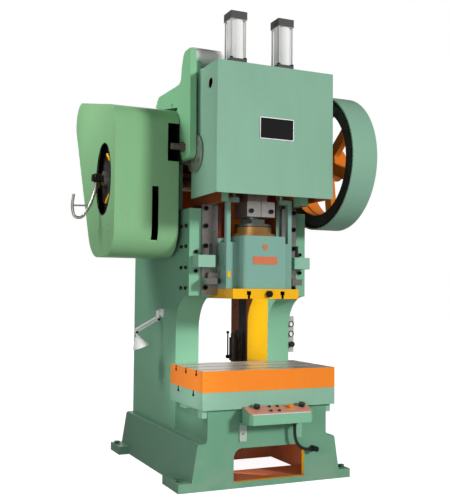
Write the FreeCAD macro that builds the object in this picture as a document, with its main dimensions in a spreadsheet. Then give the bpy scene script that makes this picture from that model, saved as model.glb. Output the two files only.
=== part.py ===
import FreeCAD, Part

# Open-back, fixed-bed power press with a crankshaft, a geared pinion shaft and a flywheel.
# Millimetres. +X is the machine's right, +Y its rear, +Z up, Z = 0 the floor. Sizes along Y are
# given from the slide's centreline; the finished pieces stand on the centre of the anchor bolts.

import math
import os

import Sketcher

Vector = FreeCAD.Vector

SIZES = {
    # Base and anchor bolts
    "base_front": -302.5,
    "base_rear": 1440,
    "base_wall": 40,
    "bed_half_width": 503,
    "shoulder_half_width": 580,
    "shoulder_height": 340,
    "skirt_half_width": 632,
    "bed_top": 587,
    "bed_roof_thick": 50,
    "foot_half_width": 726,
    "foot_height": 68,
    "foot_front_long": 342.5,
    "foot_rear_long": 264,
    "anchor_half_spacing": 678,
    "anchor_hole_radius": 18,
    "levelling_radius": 13,
    "levelling_head_high": 20,
    "levelling_from_end": 72,
    "levelling_from_side": 36,
    "window_left": -289,
    "window_right": 310,
    "window_sill": 45,
    "window_top": 292,
    "window_corner": 70,
    "sill_rear": 60,
    "cross_wall": 615,
    "inner_wall": 25,
    "inner_box_half": 500,
    "cross_hole_radius": 60,
    # Columns and crown
    "column_half_width": 518,
    "column_inner": 317,
    "plate_thick": 40,
    "throat_face": 340,
    "throat_top": 1422,
    "throat_radius": 270,
    "jaw_front": 65,
    "jaw_top": 2141,
    "web_rear": 735,
    "web_corner": 300,
    "recess_low": 2110,
    "recess_high": 2490,
    "recess_rear": 330,
    "crown_front": -230,
    "crown_side_front": 158,
    "crown_top": 3168.5,
    "crown_plate": 40,
    "crown_back": 345,
    "crown_rear": 700,
    "deck_front": 900,
    "deck_top": 2650,
    "cheek_thick": 60,
    "cheek_boss": 92,
    # Bed plate and bolster
    "bolster_long": 1120,
    "bolster_deep": 676,
    "bed_plate_thick": 130,
    "bolster_thick": 156,
    "slot_pitch": 211,
    "bed_slot_pitch": 316,
    "slot_neck": 22,
    "slot_foot": 38,
    "slot_neck_deep": 24,
    "slot_foot_deep": 20,
    # Front cover
    "cover_half_width": 496,
    "cover_front": -406.5,
    "cover_rear": 95,
    "cover_bottom": 2185,
    "sheet": 6,
    "cover_hole_radius": 38,
    "cover_hole_from_front": 132,
    "cover_hole_below_top": 150,
    "nameplate_long": 291,
    "nameplate_high": 166,
    "nameplate_centre": 2694,
    # Crank drive
    "crank_height": 2530,
    "throw": 80,
    "journal_radius": 70,
    "crankpin_radius": 70,
    "crankpin_half_long": 95,
    "crank_web_radius": 190,
    "crank_web_thick": 62,
    "bearing_wall": 28,
    "running_gap": 0.05,
    "free_gap": 0.3,
    "gear_module": 10,
    "gear_teeth": 104,
    "pinion_teeth": 19,
    "gear_from": 600,
    "gear_wide": 200,
    "gear_rim_inner": 432,
    "gear_web_thick": 50,
    "gear_hub_radius": 135,
    "gear_spokes": 6,
    "spoke_wide": 92,
    "brake_disc_radius": 150,
    "brake_disc_thick": 12,
    "brake_disc_from": -515,
    # Pinion shaft, flywheel, motor
    "pinion_shaft_angle": 15.15,
    "shaft_radius": 60,
    "flywheel_radius": 400,
    "flywheel_from": -1010,
    "flywheel_wide": 180,
    "flywheel_rim": 66,
    "flywheel_web": 44,
    "flywheel_hub_radius": 110,
    "belt_count": 4,
    "belt_pitch": 34,
    "belt_wide": 17,
    "belt_thick": 14,
    "groove_deep": 12,
    "pulley_radius": 86,
    "motor_behind": 1230,
    "motor_height": 2900,
    "motor_radius": 130,
    "motor_from": -480,
    "motor_long": 540,
    "motor_shaft_radius": 24,
    "clutch_radius": 312,
    "clutch_thick": 22,
    "clutch_gap": 8,
    "clutch_ring_radius": 205,
    "clutch_ring_thick": 14,
    "union_radius": 30,
    "union_end": -1165,
    "pipe_radius": 12,
    # Flywheel guard
    "guard_outer": -1100,
    "guard_inner": -575,
    "guard_front": 165,
    "guard_bottom": 1726,
    "guard_front_top": 2891,
    "guard_rear": 1597,
    "guard_rear_top": 3207,
    "guard_toe": 839,
    "guard_top_corner": 150,
    "guard_lobe": 175,
    "guard_toe_corner": 350,
    "guard_heel_corner": 230,
    "guard_backplate": 5,
    "guard_hole_centre_behind": 484,
    "guard_hole_centre_height": 2351,
    "guard_hole_half_wide": 207,
    "guard_hole_half_high": 286,
    "guard_slot_from": -795,
    "guard_slot_wide": 53,
    "guard_slot_top": 2277,
    "notch_wide": 95,
    "notch_low": 2485,
    "notch_high": 2829,
    # Side bracket
    "bracket_thick": 52,
    "bracket_pin_behind": 75,
    "bracket_pin_height": 2587,
    "bracket_pin_radius": 25,
    "bracket_pin_long": 105,
    # Gear guard
    "band_from": 590,
    "band_wide": 223,
    "band_radius": 553,
    "band_thick": 12,
    "band_lobe_radius": 150,
    "stub_radius": 20,
    # Slide
    "slide_low": 1479,
    "slide_plate_low": 1403,
    "slide_plate_half_wide": 283,
    "slide_plate_half_deep": 250,
    "slide_half_width": 286,
    "slide_front": -127,
    "slide_rear": 300,
    "slide_shoulder": 1841,
    "slide_top": 1890,
    "slide_nose_half_width": 187,
    "slide_nose_front": -225,
    "nose_corner": 28,
    "post_thick": 34,
    "post_deep": 40,
    "post_top": 2190,
    "slide_wall": 40,
    "slide_tail_top": 2260,
    "wing_half_width": 304.9,
    "wing_front": 65.2,
    "slide_slot_left": -149,
    "slide_slot_right": 141,
    "slide_slot_neck": 20,
    "slide_slot_foot": 36,
    "slide_slot_deep": 59,
    "shank_radius": 30,
    "shank_deep": 70,
    "label_long": 209,
    "label_high": 61,
    "label_above_plate": 221,
    "badge_radius": 22,
    "badge_above_label": 104,
    # Connecting rod, screw, collar
    "rod_half_thick": 85,
    "rod_wall": 48,
    "rod_shank_half": 88,
    "clamp_half_wide": 121,
    "clamp_front": -150,
    "clamp_bottom": 2044,
    "clamp_top": 2166,
    "clamp_bolt_radius": 19,
    "clamp_bolt_half_pitch": 87,
    "screw_radius": 60,
    "ball_radius": 76,
    "ball_above_plate": 311,
    "nut_above_ball": 180,
    "nut_high": 61,
    "nut_radius": 112,
    "ratchet_radius": 146,
    "collar_radius": 150,
    "collar_low": 1890,
    "collar_top": 1966,
    "collar_flange": 30,
    # Gibs
    "gib_front": 40,
    "gib_inner": 287,
    "gib_outer": 420,
    "gib_low": 1431,
    "gib_lip": 250,
    "gib_bolt_radius": 19,
    "gib_bolt_place": 392,
    "bolt_head_high": 13,
    "side_bolt_radius": 14,
    "jaw_bolt_radius": 15,
    "jaw_bolt_place": 466,
    "jaw_bolt_gap": 28,
    # Knockout
    "knockout_from": 350,
    "knockout_to": 492,
    "knockout_low": 1644,
    "knockout_high": 1738,
    "knockout_out": 64,
    "knockout_arm_deep": 40,
    "knockout_arm_low": 1512,
    "knockout_arm_high": 1560,
    "knockout_arm_from": 330,
    "knob_radius": 24,
    "knob_long": 22,
    "buffer_radius": 20,
    "stop_inset": 30,
    "stop_long": 92,
    "stop_rod_radius": 13,
    "knockout_bar_high": 44,
    "knockout_bar_deep": 30,
    "knockout_bar_half": 380,
    "knockout_slot_below_ball": 230,
    "knockout_slot_high": 80,
    # Balance cylinders and tank
    "balancer_spread": 209,
    "balancer_behind": -90,
    "balancer_half": 70,
    "balancer_base_high": 105,
    "balancer_barrel_radius": 68,
    "balancer_barrel_top": 3590,
    "balancer_cap_high": 65,
    "balancer_wall": 6,
    "piston_rest": 273,
    "piston_high": 30,
    "tie_rod_radius": 7,
    "balance_rod_radius": 16,
    "tank_radius": 80,
    "tank_behind": 200,
    "tank_height": 3350,
    "tank_from": -500,
    "tank_long": 302,
    "saddle_wide": 40,
    # Controls
    "box_left": -240,
    "box_right": 300,
    "box_front": -480,
    "box_bottom": 483,
    "box_lip": 72,
    "box_chamfer": 24,
    "panel_slope": 16.7,
    "panel_thick": 6,
    "palm_radius": 24,
    "palm_travel": 8,
    "button_radius": 11,
    "button_travel": 4,
    "stop_radius": 20,
    "conduit_radius": 12.5,
    "gland_radius": 21,
    "gland_long": 22,
    "gland_right": 190,
    "gland_front": -365,
    "elbow_right": 379,
    "elbow_height": 255,
    "elbow_out": 50,
    "elbow_long": 36,
    "angle_wide": 59,
    "angle_thick": 8,
    "angle_low": 342,
    # Air panel, lamp, pump
    "air_panel_half_thick": 31,
    "air_panel_low": 940,
    "air_panel_high": 1246,
    "air_panel_deep": 70,
    "gauge_radius": 24,
    "gauge_pitch": 83,
    "gauge_above_knob": 91,
    "knob_above_panel": 68,
    "lamp_behind": 684,
    "lamp_height": 1269,
    "lamp_base_half": 44,
    "lamp_base_high": 70,
    "lamp_swivel_out": 36,
    "lamp_arm_out": 190,
    "lamp_arm_drop": 105,
    "lamp_bar_radius": 5,
    "lamp_bar_gap": 42,
    "lamp_bar_rise": 24,
    "lamp_pivot_radius": 6,
    "shade_radius": 72,
    "shade_long": 120,
    "pump_behind": 1250,
    "pump_low": 778,
    "pump_high": 1078,
    "pump_radius": 42,
    "pump_lever_long": 230,
}


# ---------------------------------------------------------------- sheet and sizes

class Size:
    """A length that knows its number and the expression that ties it to the sheet."""

    def __init__(self, number, text):
        self.number = float(number)
        self.text = text

    def __float__(self):
        return self.number

    def __add__(self, other):
        other = as_size(other)
        return Size(self.number + other.number, f"({self.text} + {other.text})")

    def __sub__(self, other):
        other = as_size(other)
        return Size(self.number - other.number, f"({self.text} - {other.text})")

    def __mul__(self, other):
        other = as_size(other)
        return Size(self.number * other.number, f"({self.text} * {other.text})")

    def __truediv__(self, other):
        other = as_size(other)
        return Size(self.number / other.number, f"({self.text} / {other.text})")

    def __neg__(self):
        return Size(-self.number, f"(0 - {self.text})")

    def __radd__(self, other):
        return as_size(other) + self

    def __rsub__(self, other):
        return as_size(other) - self

    def __rmul__(self, other):
        return as_size(other) * self


def as_size(value):
    if isinstance(value, Size):
        return value
    number = round(float(value), 9)
    return Size(number, f"({number:.9f})")


def cosine(angle):
    angle = as_size(angle)
    return Size(math.cos(math.radians(angle.number)), f"cos({angle.text} * 1 deg)")


def sine(angle):
    angle = as_size(angle)
    return Size(math.sin(math.radians(angle.number)), f"sin({angle.text} * 1 deg)")


doc = FreeCAD.newDocument("stamping_press")
sheet = doc.addObject("Spreadsheet::Sheet", "sizes")


class Sheet:
    """Every driving size, by its alias."""

    def __init__(self, values):
        for row, (alias, value) in enumerate(values.items(), start=1):
            sheet.set(f"A{row}", alias.replace("_", " "))
            sheet.set(f"B{row}", str(value))
            sheet.setAlias(f"B{row}", alias)
            setattr(self, alias, Size(value, f"sizes.{alias}"))


S = Sheet(SIZES)
doc.recompute()

# ---------------------------------------------------------------- places worked out from the sizes

foot_front_rear = S.base_front + S.foot_front_long
foot_rear_front = S.base_rear - S.foot_rear_long
anchor_front = (S.base_front + foot_front_rear) / 2
anchor_rear = (foot_rear_front + S.base_rear) / 2
axis_y = -(anchor_front + anchor_rear) / 2

bed_plate_top = S.bed_top + S.bed_plate_thick
bolster_top = bed_plate_top + S.bolster_thick
cover_top = S.crown_top + S.sheet
ball_height = S.slide_low + S.ball_above_plate
nut_low = ball_height + S.nut_above_ball
nut_top = nut_low + S.nut_high
knockout_slot_low = ball_height - S.knockout_slot_below_ball
knockout_slot_top = knockout_slot_low + S.knockout_slot_high
label_centre = S.slide_low + S.label_above_plate
badge_height = label_centre + S.badge_above_label
knob_height = S.air_panel_low + S.knob_above_panel
gauge_lower = knob_height + S.gauge_above_knob
gauge_upper = gauge_lower + S.gauge_pitch
outer_plate = S.column_half_width - S.plate_thick
inner_plate = S.column_inner + S.plate_thick
crankpin_height = S.crank_height + S.throw

gear_pitch_radius = S.gear_module * S.gear_teeth / 2
pinion_pitch_radius = S.gear_module * S.pinion_teeth / 2
centre_distance = gear_pitch_radius + pinion_pitch_radius
shaft_y = centre_distance * cosine(S.pinion_shaft_angle)
shaft_z = S.crank_height - centre_distance * sine(S.pinion_shaft_angle)
gear_to = S.gear_from + S.gear_wide
flywheel_to = S.flywheel_from + S.flywheel_wide
clutch_to = S.flywheel_from - S.clutch_gap
clutch_from = clutch_to - S.clutch_thick
ring_from = clutch_from - S.clutch_ring_thick
shaft_left = ring_from - 20
belt_middle = (S.flywheel_from + flywheel_to) / 2

NODES = []


# ---------------------------------------------------------------- building blocks

def bind(item, name, value):
    item.setExpression(name, as_size(value).text)


def place(item, x, y, z, rotation=None):
    item.Placement = FreeCAD.Placement(Vector(0, 0, 0), rotation or FreeCAD.Rotation())
    bind(item, "Placement.Base.x", x)
    bind(item, "Placement.Base.y", as_size(y) + axis_y)
    bind(item, "Placement.Base.z", z)
    return item


def box(x, y, z):
    """Block between two values along each axis."""
    block = doc.addObject("Part::Box", "block")
    bind(block, "Length", as_size(x[1]) - x[0])
    bind(block, "Width", as_size(y[1]) - y[0])
    bind(block, "Height", as_size(z[1]) - z[0])
    return place(block, x[0], y[0], z[0])


AXIS_TURN = {
    "x": FreeCAD.Rotation(Vector(0, 1, 0), 90),
    "y": FreeCAD.Rotation(Vector(1, 0, 0), -90),
    "z": FreeCAD.Rotation(),
}


def start_of(axis, span, centre):
    points = {
        "x": (span[0], centre[0], centre[1]),
        "y": (centre[0], span[0], centre[1]),
        "z": (centre[0], centre[1], span[0]),
    }
    return points[axis]


def rod(axis, span, centre, radius):
    """Cylinder along an axis; centre holds the two other coordinates in the order X, Y, Z."""
    bar = doc.addObject("Part::Cylinder", "bar")
    bind(bar, "Radius", radius)
    bind(bar, "Height", as_size(span[1]) - span[0])
    return place(bar, *start_of(axis, span, centre), AXIS_TURN[axis])


def hexagon(axis, span, centre, radius):
    """Six-sided bolt head or nut with its corners at the radius."""
    head = doc.addObject("Part::Prism", "head")
    head.Polygon = 6
    bind(head, "Circumradius", radius)
    bind(head, "Height", as_size(span[1]) - span[0])
    return place(head, *start_of(axis, span, centre), AXIS_TURN[axis])


def taper(axis, span, centre, radius_from, radius_to):
    frustum = doc.addObject("Part::Cone", "frustum")
    bind(frustum, "Radius1", radius_from)
    bind(frustum, "Radius2", radius_to)
    bind(frustum, "Height", as_size(span[1]) - span[0])
    return place(frustum, *start_of(axis, span, centre), AXIS_TURN[axis])


def ball(x, y, z, radius):
    globe = doc.addObject("Part::Sphere", "globe")
    bind(globe, "Radius", radius)
    return place(globe, x, y, z)


def sided(side, start, end):
    """Two distances from the middle, in order, on the left (-1) or the right (1)."""
    return sorted([as_size(start) * side, as_size(end) * side], key=float)


def fuse(*pieces):
    whole = doc.addObject("Part::MultiFuse", "joined")
    whole.Shapes = list(pieces)
    whole.Refine = True
    return whole


def cut(base, *tools):
    rest = doc.addObject("Part::Cut", "cut_piece")
    rest.Base = base
    rest.Tool = tools[0] if len(tools) == 1 else fuse(*tools)
    rest.Refine = True
    return rest


def group(*pieces):
    """Separate solids that share a node."""
    several = doc.addObject("Part::Compound", "several")
    several.Links = list(pieces)
    return several


def mirrored(piece):
    """The same piece on the machine's other side."""
    other = doc.addObject("Part::Mirroring", "mirrored")
    other.Source = piece
    other.Normal = Vector(1, 0, 0)
    other.Base = Vector(0, 0, 0)
    return other


def shaped(shape):
    """A solid worked out with the sheet's sizes, measured from the slide's centreline."""
    piece = doc.addObject("Part::Feature", "shaped")
    piece.Shape = shape
    return place(piece, 0, 0, 0)


def node(name, piece):
    piece.Label = name
    NODES.append(piece)
    return piece


PLANES = {
    "side": FreeCAD.Rotation(Vector(1, 1, 1), 120),
    "front": FreeCAD.Rotation(Vector(1, 0, 0), 90),
    "plan": FreeCAD.Rotation(),
}
SWEEP = {"side": Vector(1, 0, 0), "front": Vector(0, 1, 0), "plan": Vector(0, 0, 1)}


def corner_arc(before, corner, after, radius):
    """Start, end and centre of the arc that rounds a corner, and whether it turns left."""
    back = (before - corner).normalize()
    onward = (after - corner).normalize()
    half = back.getAngle(onward) / 2
    reach = radius / math.tan(half)
    centre = corner + (back + onward).normalize() * (radius / math.sin(half))
    left = onward.cross(back).z > 0
    return corner + back * reach, corner + onward * reach, centre, left


def outline(plane, level, corners):
    """Closed sketch of straight sides; a corner given as (u, v, radius) is rounded."""
    sketch = doc.addObject("Sketcher::SketchObject", "outline")
    offsets = {"side": (level, 0, 0), "front": (0, level, 0), "plan": (0, 0, level)}
    place(sketch, *offsets[plane], PLANES[plane])
    points = [Vector(float(c[0]), float(c[1]), 0) for c in corners]
    count = len(points)
    starts, ends, arcs = [], [], {}
    for index, corner in enumerate(corners):
        if len(corner) < 3:
            starts.append(points[index])
            ends.append(points[index])
            continue
        before, after = points[index - 1], points[(index + 1) % count]
        first, last, centre, left = corner_arc(before, points[index], after, float(corner[2]))
        starts.append(first)
        ends.append(last)
        arcs[index] = (centre, left)
    for index in range(count):
        following = (index + 1) % count
        sketch.addGeometry(Part.LineSegment(ends[index], starts[following]), False)
    for index, corner in enumerate(corners):
        into, out = (index - 1) % count, index
        if index not in arcs:
            sketch.addConstraint(Sketcher.Constraint("Coincident", into, 2, out, 1))
            tie_point(sketch, out, 1, corner)
            continue
        centre, left = arcs[index]
        radius = float(corner[2])
        rays = [starts[index] - centre, ends[index] - centre]
        angles = [math.atan2(ray.y, ray.x) for ray in rays]
        if not left:
            angles.reverse()
        circle = Part.Circle(centre, Vector(0, 0, 1), radius)
        arc = sketch.addGeometry(Part.ArcOfCircle(circle, angles[0], angles[1]), False)
        virtual = sketch.addGeometry(Part.Point(points[index]), True)
        tie_point(sketch, virtual, 1, corner)
        sketch.addConstraint(Sketcher.Constraint("PointOnObject", virtual, 1, into))
        sketch.addConstraint(Sketcher.Constraint("PointOnObject", virtual, 1, out))
        near, far = (1, 2) if left else (2, 1)
        sketch.addConstraint(Sketcher.Constraint("Tangent", into, 2, arc, near))
        sketch.addConstraint(Sketcher.Constraint("Tangent", out, 1, arc, far))
        fixed = sketch.addConstraint(Sketcher.Constraint("Radius", arc, radius))
        bind(sketch, f"Constraints[{fixed}]", corner[2])
    return sketch


def tie_point(sketch, geometry, vertex, corner):
    for kind, value in (("DistanceX", corner[0]), ("DistanceY", corner[1])):
        fixed = sketch.addConstraint(Sketcher.Constraint(kind, -1, 1, geometry, vertex, float(value)))
        bind(sketch, f"Constraints[{fixed}]", value)


def drawn_out(plane, profile, length):
    solid = doc.addObject("Part::Extrusion", "drawn_out")
    solid.Base = profile
    solid.DirMode = "Custom"
    solid.Dir = SWEEP[plane]
    solid.Solid = True
    bind(solid, "LengthFwd", length)
    return solid


def prism(plane, span, corners):
    """Outline drawn out between two levels, square to its plane."""
    return drawn_out(plane, outline(plane, span[0], corners), as_size(span[1]) - span[0])


def inset(profile, amount):
    """The same outline, moved in by an amount."""
    smaller = doc.addObject("Part::Offset2D", "inset")
    smaller.Source = profile
    smaller.Join = "Intersection"
    bind(smaller, "Value", -as_size(amount))
    return smaller


def tee_slot(along, span, centre, opening, widths, depths, inward=-1):
    """T-slot cutter; the neck and then the foot go in from the face, downward or (1) upward."""
    pieces = []
    level = as_size(opening)
    for width, deep in zip(widths, depths):
        reached = level + as_size(deep) * inward
        height = sorted([level, reached], key=float)
        across = (centre - width / 2, centre + width / 2)
        pieces.append(box(span, across, height) if along == "x" else box(across, span, height))
        level = reached
    return fuse(*pieces)


# ---------------------------------------------------------------- base

def build_base():
    plinth = prism("front", (S.base_front, S.base_rear), [
        (-S.skirt_half_width, 0),
        (S.skirt_half_width, 0),
        (S.shoulder_half_width, S.shoulder_height, 20),
        (-S.shoulder_half_width, S.shoulder_height, 20),
    ])
    bed = prism("front", (S.base_front, S.throat_face), [
        (-S.bed_half_width, S.shoulder_height - 30),
        (S.bed_half_width, S.shoulder_height - 30),
        (S.bed_half_width, S.bed_top),
        (-S.bed_half_width, S.bed_top),
    ])
    feet = []
    for rear, front in ((foot_front_rear, S.base_front), (S.base_rear, foot_rear_front)):
        feet.append(box((-S.foot_half_width, S.foot_half_width), (front, rear), (0, S.foot_height)))
    fillets = []
    for side in (-1, 1):
        edge = S.bed_half_width * side
        fillets.append(prism("front", (S.base_front, S.throat_face), [
            (edge, S.shoulder_height - 20),
            (edge + 34 * side, S.shoulder_height - 20),
            (edge + 34 * side, S.shoulder_height),
            (edge + 20 * side, S.shoulder_height + 3),
            (edge + 8 * side, S.shoulder_height + 12),
            (edge, S.shoulder_height + 34),
        ][::side]))
    inner_front = S.base_front + S.base_wall
    inner_rear = S.base_rear - S.base_wall
    hollow = prism("front", (inner_front, inner_rear), [
        (-S.skirt_half_width + S.base_wall, -1),
        (S.skirt_half_width - S.base_wall, -1),
        (S.shoulder_half_width - S.base_wall, S.shoulder_height - S.base_wall),
        (-S.shoulder_half_width + S.base_wall, S.shoulder_height - S.base_wall),
    ])
    bed_hollow = box(
        (-S.bed_half_width + S.base_wall, S.bed_half_width - S.base_wall),
        (inner_front, S.throat_face - S.base_wall),
        (S.shoulder_height - S.base_wall - 1, S.bed_top - S.bed_roof_thick),
    )
    window = prism("front", (S.base_front - 1, inner_front + 1), [
        (S.window_left, S.window_sill),
        (S.window_right, S.window_sill),
        (S.window_right, S.window_top, S.window_corner),
        (S.window_left, S.window_top, S.window_corner),
    ])
    rear_window = box(
        (S.window_left - S.base_wall, S.window_right + S.base_wall),
        (inner_rear - 1, S.base_rear + 1),
        (S.window_sill, S.window_top),
    )
    holes = []
    for side in (-1, 1):
        for y in (anchor_front, anchor_rear):
            holes.append(rod("z", (-1, S.foot_height + 1), (S.anchor_half_spacing * side, y),
                             S.anchor_hole_radius))
    for centre in levelling_places():
        holes.append(rod("z", (-1, S.foot_height + 1), centre, S.levelling_radius))
    shell = cut(fuse(plinth, bed, *feet, *fillets), hollow, bed_hollow, window, rear_window, *holes)
    sill_half = S.skirt_half_width - S.base_wall
    sill = box((-sill_half, sill_half), (inner_front, S.sill_rear), (0, S.window_sill))
    roof = S.shoulder_height - S.base_wall
    cross = box((-sill_half, sill_half), (S.cross_wall, S.cross_wall + S.inner_wall), (0, roof))
    sides = [box(sided(side, S.inner_box_half, S.inner_box_half + S.inner_wall),
                 (inner_front, S.cross_wall), (0, roof)) for side in (-1, 1)]
    web_hole = rod("y", (S.cross_wall - 1, S.cross_wall + S.inner_wall + 1),
                   (0, roof / 2), S.cross_hole_radius)
    skirt = prism("front", (inner_front, inner_rear), [
        (-S.skirt_half_width, 0),
        (S.skirt_half_width, 0),
        (S.shoulder_half_width, S.shoulder_height),
        (-S.shoulder_half_width, S.shoulder_height),
    ])
    walls = doc.addObject("Part::Common", "inner_walls")
    walls.Base = fuse(sill, cut(cross, web_hole), *sides)
    walls.Tool = skirt
    node("base", fuse(shell, walls))


def levelling_places():
    """One screw near the outer corner of each foot."""
    ends = (S.base_front + S.levelling_from_end, S.base_rear - S.levelling_from_end)
    return [((S.foot_half_width - S.levelling_from_side) * side, y) for side in (-1, 1) for y in ends]


def build_levelling_screws():
    screws = []
    for centre in levelling_places():
        shank = rod("z", (1, S.foot_height + 2), centre, S.levelling_radius)
        head = hexagon("z", (S.foot_height, S.foot_height + S.levelling_head_high), centre,
                       S.levelling_radius * 2)
        screws.append(fuse(shank, head))
    node("levelling_screws", group(*screws))


# ---------------------------------------------------------------- columns and crown

def column():
    """The right column: outer side plate, inner web, and the flange that follows the throat."""
    low = S.shoulder_height
    cheek_top = S.crown_top - S.crown_plate
    side = prism("side", (outer_plate, S.column_half_width), [
        (S.throat_face, low),
        (S.base_rear, low),
        (S.base_rear, S.deck_top),
        (S.deck_front, S.deck_top),
        (S.crown_rear, cheek_top),
        (S.crown_side_front, cheek_top),
        (S.crown_side_front, S.recess_high),
        (S.recess_rear, S.recess_high),
        (S.recess_rear, S.recess_low),
        (S.jaw_front, S.recess_low),
        (S.jaw_front, S.throat_top),
        (S.throat_face, S.throat_top, S.throat_radius),
    ])
    web = prism("side", (S.column_inner, inner_plate), [
        (S.throat_face, low),
        (S.web_rear, low),
        (S.web_rear, S.throat_top + S.plate_thick, S.web_corner),
        (S.crown_back, S.throat_top + S.plate_thick),
        (S.crown_back + S.plate_thick, S.jaw_top),
        (S.jaw_front, S.jaw_top),
        (S.jaw_front, S.throat_top),
        (S.throat_face, S.throat_top, S.throat_radius),
    ])
    lip = S.throat_face + S.plate_thick
    flange = prism("side", (inner_plate, outer_plate), [
        (S.throat_face, low),
        (lip, low),
        (lip, S.throat_top + S.plate_thick, S.throat_radius + S.plate_thick),
        (S.jaw_front, S.throat_top + S.plate_thick),
        (S.jaw_front, S.throat_top),
        (S.throat_face, S.throat_top, S.throat_radius),
    ])
    face = box((inner_plate, outer_plate), (S.jaw_front, S.jaw_front + S.plate_thick),
               (S.throat_top, S.recess_low))
    cheek = box((S.column_inner, S.column_inner + S.cheek_thick), (S.crown_front, S.crown_back),
                (S.jaw_top, cheek_top))
    tie = box((S.column_inner + S.cheek_thick, outer_plate),
              (S.crown_back - S.plate_thick, S.crown_back), (S.recess_high, cheek_top))
    boss = rod("x", (S.column_inner, S.column_inner + S.cheek_boss + S.cheek_thick),
               (0, S.crank_height), S.journal_radius + S.bearing_wall + 40)
    seat = rod("x", (S.column_inner - 1, S.column_half_width), (0, S.crank_height),
               S.journal_radius + S.bearing_wall)
    shaft_seat = rod("x", (outer_plate - 1, S.column_half_width + 1), (shaft_y, shaft_z),
                     S.shaft_radius + S.bearing_wall)
    return cut(fuse(side, web, flange, face, cheek, tie, boss), seat, shaft_seat)


def build_columns():
    node("column_right", column())
    node("column_left", mirrored(column()))


def build_crown():
    plate = S.plate_thick
    cheek_top = S.crown_top - S.crown_plate
    back = box((-S.column_inner, S.column_inner), (S.crown_back, S.crown_back + plate),
               (S.throat_top + plate, cheek_top))
    roof_half = S.cover_half_width - S.sheet
    roof = box((-roof_half, roof_half), (S.crown_front, S.crown_rear), (cheek_top, S.crown_top))
    roof_holes = []
    for side in (-1, 1):
        roof_holes.append(rod("z", (cheek_top - 1, S.crown_top + 1),
                              (S.balancer_spread * side, S.balancer_behind),
                              S.balance_rod_radius + 8))
    stay = box((-outer_plate, outer_plate), (S.crown_rear, S.crown_rear + plate),
               (S.deck_top - plate, cheek_top - 150))
    deck = box((-outer_plate, outer_plate), (S.crown_rear, S.base_rear),
               (S.deck_top - plate, S.deck_top))
    rear = box((-outer_plate, outer_plate), (S.base_rear - plate, S.base_rear),
               (S.deck_top - 1000, S.deck_top))
    ribs = box((-S.column_inner, S.column_inner), (S.crown_back + plate, S.crown_rear + plate),
               (S.deck_top - plate, S.deck_top))
    saddles = []
    for start in (50, 212):
        span = (S.tank_from + start, S.tank_from + start + S.saddle_wide)
        block = box(span, (S.tank_behind - 70, S.tank_behind + 70), (S.crown_top, S.tank_height - 30))
        wide = (span[0] - 1, span[1] + 1)
        tank_space = rod("x", wide, (S.tank_behind, S.tank_height), S.tank_radius)
        saddles.append(cut(block, tank_space))
    node("crown", fuse(cut(roof, *roof_holes), back, stay, deck, rear, ribs, *saddles))


def build_bed():
    half_long, half_deep = S.bolster_long / 2, S.bolster_deep / 2
    span = (-half_long - 1, half_long + 1)
    plate = box((-half_long, half_long), (-half_deep, half_deep), (S.bed_top, bed_plate_top))
    widths, depths = (S.slot_neck, S.slot_foot), (S.slot_neck_deep, S.slot_foot_deep)
    slots = [tee_slot("x", span, S.bed_slot_pitch * share, bed_plate_top, widths, depths)
             for share in (-0.5, 0.5)]
    clamps = []
    for side in (-1, 1):
        for front, rear, drop in ((49, 159, 32), (-296, -217, 62)):
            reach = sided(side, S.bed_half_width, half_long - 15)
            clamps.append(box(reach, (front, rear), (S.bed_top - drop, S.bed_top)))
    node("bed_plate", fuse(cut(plate, *slots), *clamps))
    bolster = box((-half_long, half_long), (-half_deep, half_deep), (bed_plate_top, bolster_top))
    slots = [tee_slot("x", span, S.slot_pitch * step, bolster_top, widths, depths)
             for step in (-1, 0, 1)]
    node("bolster_plate", cut(bolster, *slots))


# ---------------------------------------------------------------- front cover and nameplate

def build_cover():
    sheet_thick = S.sheet
    outer = box((-S.cover_half_width, S.cover_half_width), (S.cover_front, S.cover_rear),
                (S.cover_bottom, cover_top))
    inner = box((-S.cover_half_width + sheet_thick, S.cover_half_width - sheet_thick),
                (S.cover_front + sheet_thick, S.cover_rear + 1),
                (S.cover_bottom - 1, cover_top - sheet_thick))
    hole = rod("x", (-S.cover_half_width - 1, -S.cover_half_width + sheet_thick + 1),
               (S.cover_front + S.cover_hole_from_front, cover_top - S.cover_hole_below_top),
               S.cover_hole_radius)
    rods = []
    for side in (-1, 1):
        rods.append(rod("z", (cover_top - sheet_thick - 1, cover_top + 1),
                        (S.balancer_spread * side, S.balancer_behind), S.balance_rod_radius + 8))
    shaft_hole = rod("x", (-S.cover_half_width - 1, S.cover_half_width + 1), (0, S.crank_height),
                     S.journal_radius + 6)
    node("front_cover", cut(outer, inner, hole, shaft_hole, *rods))
    half_long, half_high = S.nameplate_long / 2, S.nameplate_high / 2
    field = box((-half_long, half_long), (S.cover_front - 3, S.cover_front),
                (S.nameplate_centre - half_high, S.nameplate_centre + half_high))
    node("nameplate", field)


# ---------------------------------------------------------------- crank drive

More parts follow.
